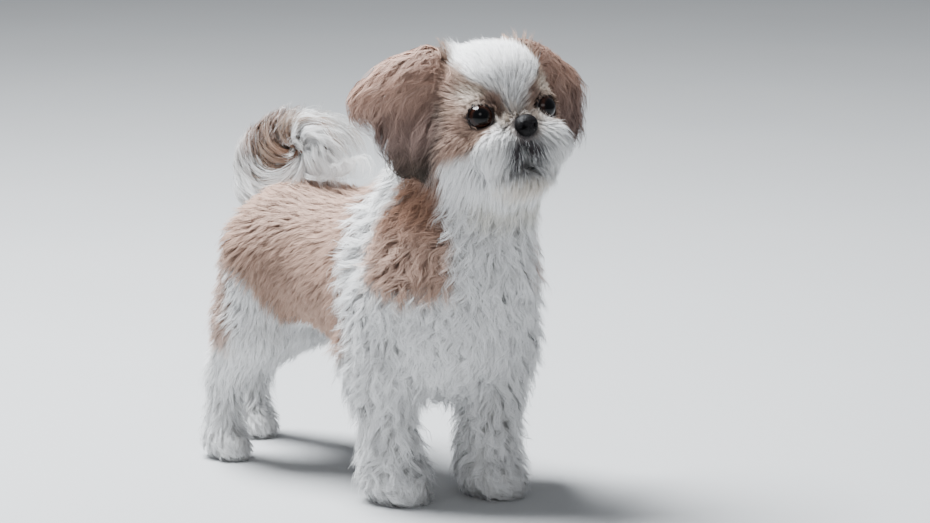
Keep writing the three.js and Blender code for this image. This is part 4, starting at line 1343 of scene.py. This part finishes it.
def eye_material(s):
    ax = EYE_AXIS[s]
    c = (EYES[s] + SHIFT) * 0.001

    def build(nt, b):
        t = nt.nodes.new("ShaderNodeTexCoord")
        sub = nt.nodes.new("ShaderNodeVectorMath")
        sub.operation = "SUBTRACT"
        sub.inputs[1].default_value = tuple(c)
        nt.links.new(t.outputs["Object"], sub.inputs[0])
        nrm = nt.nodes.new("ShaderNodeVectorMath")
        nrm.operation = "NORMALIZE"
        nt.links.new(sub.outputs[0], nrm.inputs[0])
        dot = nt.nodes.new("ShaderNodeVectorMath")
        dot.operation = "DOT_PRODUCT"
        dot.inputs[1].default_value = tuple(ax)
        nt.links.new(nrm.outputs[0], dot.inputs[0])
        noise = nt.nodes.new("ShaderNodeTexNoise")
        noise.inputs["Scale"].default_value = 900
        noise.inputs["Detail"].default_value = 3
        nt.links.new(t.outputs["Object"], noise.inputs["Vector"])
        add = nt.nodes.new("ShaderNodeMath")
        add.operation = "MULTIPLY_ADD"
        add.inputs[1].default_value = 0.02
        nt.links.new(noise.outputs[0], add.inputs[0])
        nt.links.new(dot.outputs["Value"], add.inputs[2])
        ramp = nt.nodes.new("ShaderNodeValToRGB")
        el = ramp.color_ramp.elements
        el[0].position, el[0].color = 0.50, (*srgb(20, 12, 11), 1)
        el[1].position, el[1].color = 0.62, (*srgb(34, 19, 14), 1)
        for pos, colr in ((0.74, srgb(40, 21, 15)), (0.82, srgb(22, 12, 9)), (0.86, srgb(4, 3, 4)), (1.0, srgb(2, 2, 3))):
            x_ = ramp.color_ramp.elements.new(pos)
            x_.color = (*colr, 1)
        nt.links.new(add.outputs[0], ramp.inputs[0])
        nt.links.new(ramp.outputs[0], b.inputs["Base Color"])
        b.inputs["Roughness"].default_value = 0.04
        b.inputs["IOR"].default_value = 1.36
        b.inputs["Specular IOR Level"].default_value = 0.4

    return material("eye_right_glass" if s < 0 else "eye_left_glass", build)


def lid_material(nt, b):
    b.inputs["Base Color"].default_value = (*srgb(34, 25, 24), 1)
    b.inputs["Roughness"].default_value = 0.38
    n = nt.nodes.new("ShaderNodeTexNoise")
    n.inputs["Scale"].default_value = 1.0
    nt.links.new(coords(nt, (900, 900, 900)), n.inputs["Vector"])
    nt.links.new(bump_node(nt, n.outputs[0], 0.3, 0.0006), b.inputs["Normal"])


MAT_LID = material("eyelid_skin", lid_material)
for s, side in ((-1, "right"), (1, "left")):
    v, f = sphere_grid(72, 48)
    ax = EYE_AXIS[s]
    upv = unit(HEAD_R[:, 2] - (HEAD_R[:, 2] @ ax) * ax)
    lf = np.cross(upv, ax)
    B = np.stack([lf, upv, ax], 1)          # columns: sideways, up, out
    # cornea: slightly fuller in front
    full = 1 + 0.035 * step01(v[:, 2], 0.72, 1.0)
    ob = new_mesh(f"eyeball_{side}", to_metres((v * full[:, None] * 11.8) @ B.T + EYES[s]), f)
    ob.data.materials.append(eye_material(s))
    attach(ob, "root")
    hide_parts(f"eye_{side}")
    # lids: a rolled band that hugs the ball, open in an almond
    nu, prof = 96, 9
    rows = []
    for i in range(nu):
        a_ = 2 * math.pi * i / nu
        cy, cz = math.cos(a_), math.sin(a_)
        open_ = 59 + 5.0 * abs(cy) ** 3 - 7.0 * max(cz, 0) ** 1.5 - 1.5 * max(-cz, 0)
        row = []
        for j in range(prof):
            u = j / (prof - 1)
            th = math.radians(open_ + 15.5 * u - (1.2 if j == 0 else 0))
            rr = 11.85 + 1.0 * max(0.0, math.sin(math.pi * min(1, u * 1.05))) ** 0.6 - (0.35 if j == 0 else 0) - 0.9 * u ** 3
            row.append((rr * math.sin(th) * cy, rr * math.sin(th) * cz, rr * math.cos(th)))
        rows.append(row)
    vv = np.array(rows).reshape(-1, 3)
    ff = []
    for i in range(nu):
        for j in range(prof - 1):
            a_, b_ = i * prof + j, ((i + 1) % nu) * prof + j
            ff += [(a_, b_, b_ + 1), (a_, b_ + 1, a_ + 1)]
    ff = np.array(ff)[:, ::-1]
    lid = new_mesh(f"eyelids_{side}", to_metres(vv @ B.T + EYES[s]), ff)
    lid.data.materials.append(MAT_LID)
    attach(lid, "root")


def nose_material(nt, b):
    b.inputs["Roughness"].default_value = 0.5
    b.inputs["Specular IOR Level"].default_value = 0.15
    n = nt.nodes.new("ShaderNodeTexVoronoi")
    n.inputs["Scale"].default_value = 1.0
    nt.links.new(coords(nt, (1000, 1000, 1000)), n.inputs["Vector"])
    ramp = nt.nodes.new("ShaderNodeValToRGB")
    ramp.color_ramp.elements[0].color = (*srgb(20, 18, 20), 1)
    ramp.color_ramp.elements[1].color = (*srgb(8, 7, 8), 1)
    nt.links.new(n.outputs["Distance"], ramp.inputs[0])
    nt.links.new(ramp.outputs[0], b.inputs["Base Color"])
    inv = nt.nodes.new("ShaderNodeMath")
    inv.operation = "SUBTRACT"
    inv.inputs[0].default_value = 1.0
    nt.links.new(n.outputs["Distance"], inv.inputs[1])
    nt.links.new(bump_node(nt, inv.outputs[0], 0.6, 0.0005), b.inputs["Normal"])


v, f = sphere_grid(96, 64)
v = v[:, [2, 0, 1]]                      # pole forward
ny, nz = v[:, 1], v[:, 2]
r = np.ones(len(v))
shape = v * np.array([8.0, 10.5, 9.5])
shape[:, 1] *= 1 + 0.08 * np.clip(nz, -1, 1)          # a little wider above
shape[:, 0] -= 1.2 * np.exp(-((ny / 0.10) ** 2)) * step01(-nz, -0.15, 0.3) * step01(v[:, 0], 0.1, 0.5)   # groove
for s in (-1, 1):
    hole = np.exp(-(((ny - s * 0.47) / 0.17) ** 2) - ((nz + 0.02) / 0.20) ** 2)
    slit = np.exp(-(((ny - s * 0.72) / 0.20) ** 2) - ((nz + 0.20) / 0.09) ** 2)
    shape[:, 0] -= (4.2 * hole + 2.2 * slit) * step01(v[:, 0], 0.1, 0.5)
    wing = np.exp(-(((ny - s * 0.62) / 0.2) ** 2) - ((nz - 0.30) / 0.18) ** 2)
    shape[:, 0] += 0.7 * wing * step01(v[:, 0], 0.1, 0.5)
nose = new_mesh("nose_leather_pad", to_metres(from_head(shape + np.array(NOSE[0]))), f)
nose.data.materials.append(material("nose_leather", nose_material))
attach(nose, "root")
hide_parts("nose")


# ------------------------------------------------------------------ camera, floor, light
def camera():
    az, el = math.radians(45.0), math.radians(10.5)
    D, F = 3200.0, 3200.0 * 1.15
    back = np.array([math.sin(az) * math.cos(el), -math.cos(az) * math.cos(el), math.sin(el)])
    right = np.array([math.cos(az), math.sin(az), 0.0])
    up = np.cross(back, right)
    u, w_ = (393 - 465) / F, -(500 - 261.5) / F
    pos = np.array([100.0, -42.0, 0.0]) - D * (-back + u * right + w_ * up)
    cam = bpy.data.cameras.new("camera")
    cam.sensor_width = 36.0
    cam.sensor_fit = "HORIZONTAL"
    cam.lens = F / 930 * 36.0
    cam.clip_end = 60
    ob = bpy.data.objects.new("camera", cam)
    ob.location = Vector((pos + SHIFT) * 0.001)
    ob.rotation_mode = "QUATERNION"
    ob.rotation_quaternion = Vector(-back).to_track_quat("-Z", "Y")
    bpy.context.scene.collection.objects.link(ob)
    bpy.context.scene.camera = ob


camera()


def floor_material(nt, b):
    n = nt.nodes.new("ShaderNodeTexNoise")
    n.inputs["Scale"].default_value = 1.0
    nt.links.new(coords(nt, (3, 3, 3)), n.inputs["Vector"])
    ramp = nt.nodes.new("ShaderNodeValToRGB")
    ramp.color_ramp.elements[0].color = (0.44, 0.445, 0.45, 1)
    ramp.color_ramp.elements[1].color = (0.47, 0.475, 0.48, 1)
    nt.links.new(n.outputs[0], ramp.inputs[0])
    nt.links.new(ramp.outputs[0], b.inputs["Base Color"])
    b.inputs["Roughness"].default_value = 0.9


s_ = 12.0
floor = new_mesh("floor", np.array([(-s_, -s_, 0), (s_, -s_, 0), (s_, s_, 0), (-s_, s_, 0)], F32), np.array([[0, 1, 2, 3]]), smooth=False)
floor.data.materials.append(material("studio_floor", floor_material))

world = bpy.data.worlds.new("studio")
world.use_nodes = True
world.node_tree.nodes["Background"].inputs[0].default_value = (0.88, 0.93, 1.0, 1)
world.node_tree.nodes["Background"].inputs[1].default_value = 0.30
bpy.context.scene.world = world


def area(name, loc, target, size, power, colour=(1, 1, 1)):
    l = bpy.data.lights.new(name, "AREA")
    l.shape = "DISK"
    l.size = size
    l.energy = power
    l.color = colour
    ob = bpy.data.objects.new(name, l)
    ob.location = loc
    ob.rotation_mode = "QUATERNION"
    ob.rotation_quaternion = (Vector(target) - Vector(loc)).to_track_quat("-Z", "Y")
    bpy.context.scene.collection.objects.link(ob)


area("key", (-0.75, -0.4, 2.6), (0.03, 0, 0.2), 1.4, 375, (0.935, 0.97, 1.0))
area("front", (2.2, -1.6, 1.9), (0.05, 0, 0.25), 1.2, 10, (1.0, 0.99, 0.98))
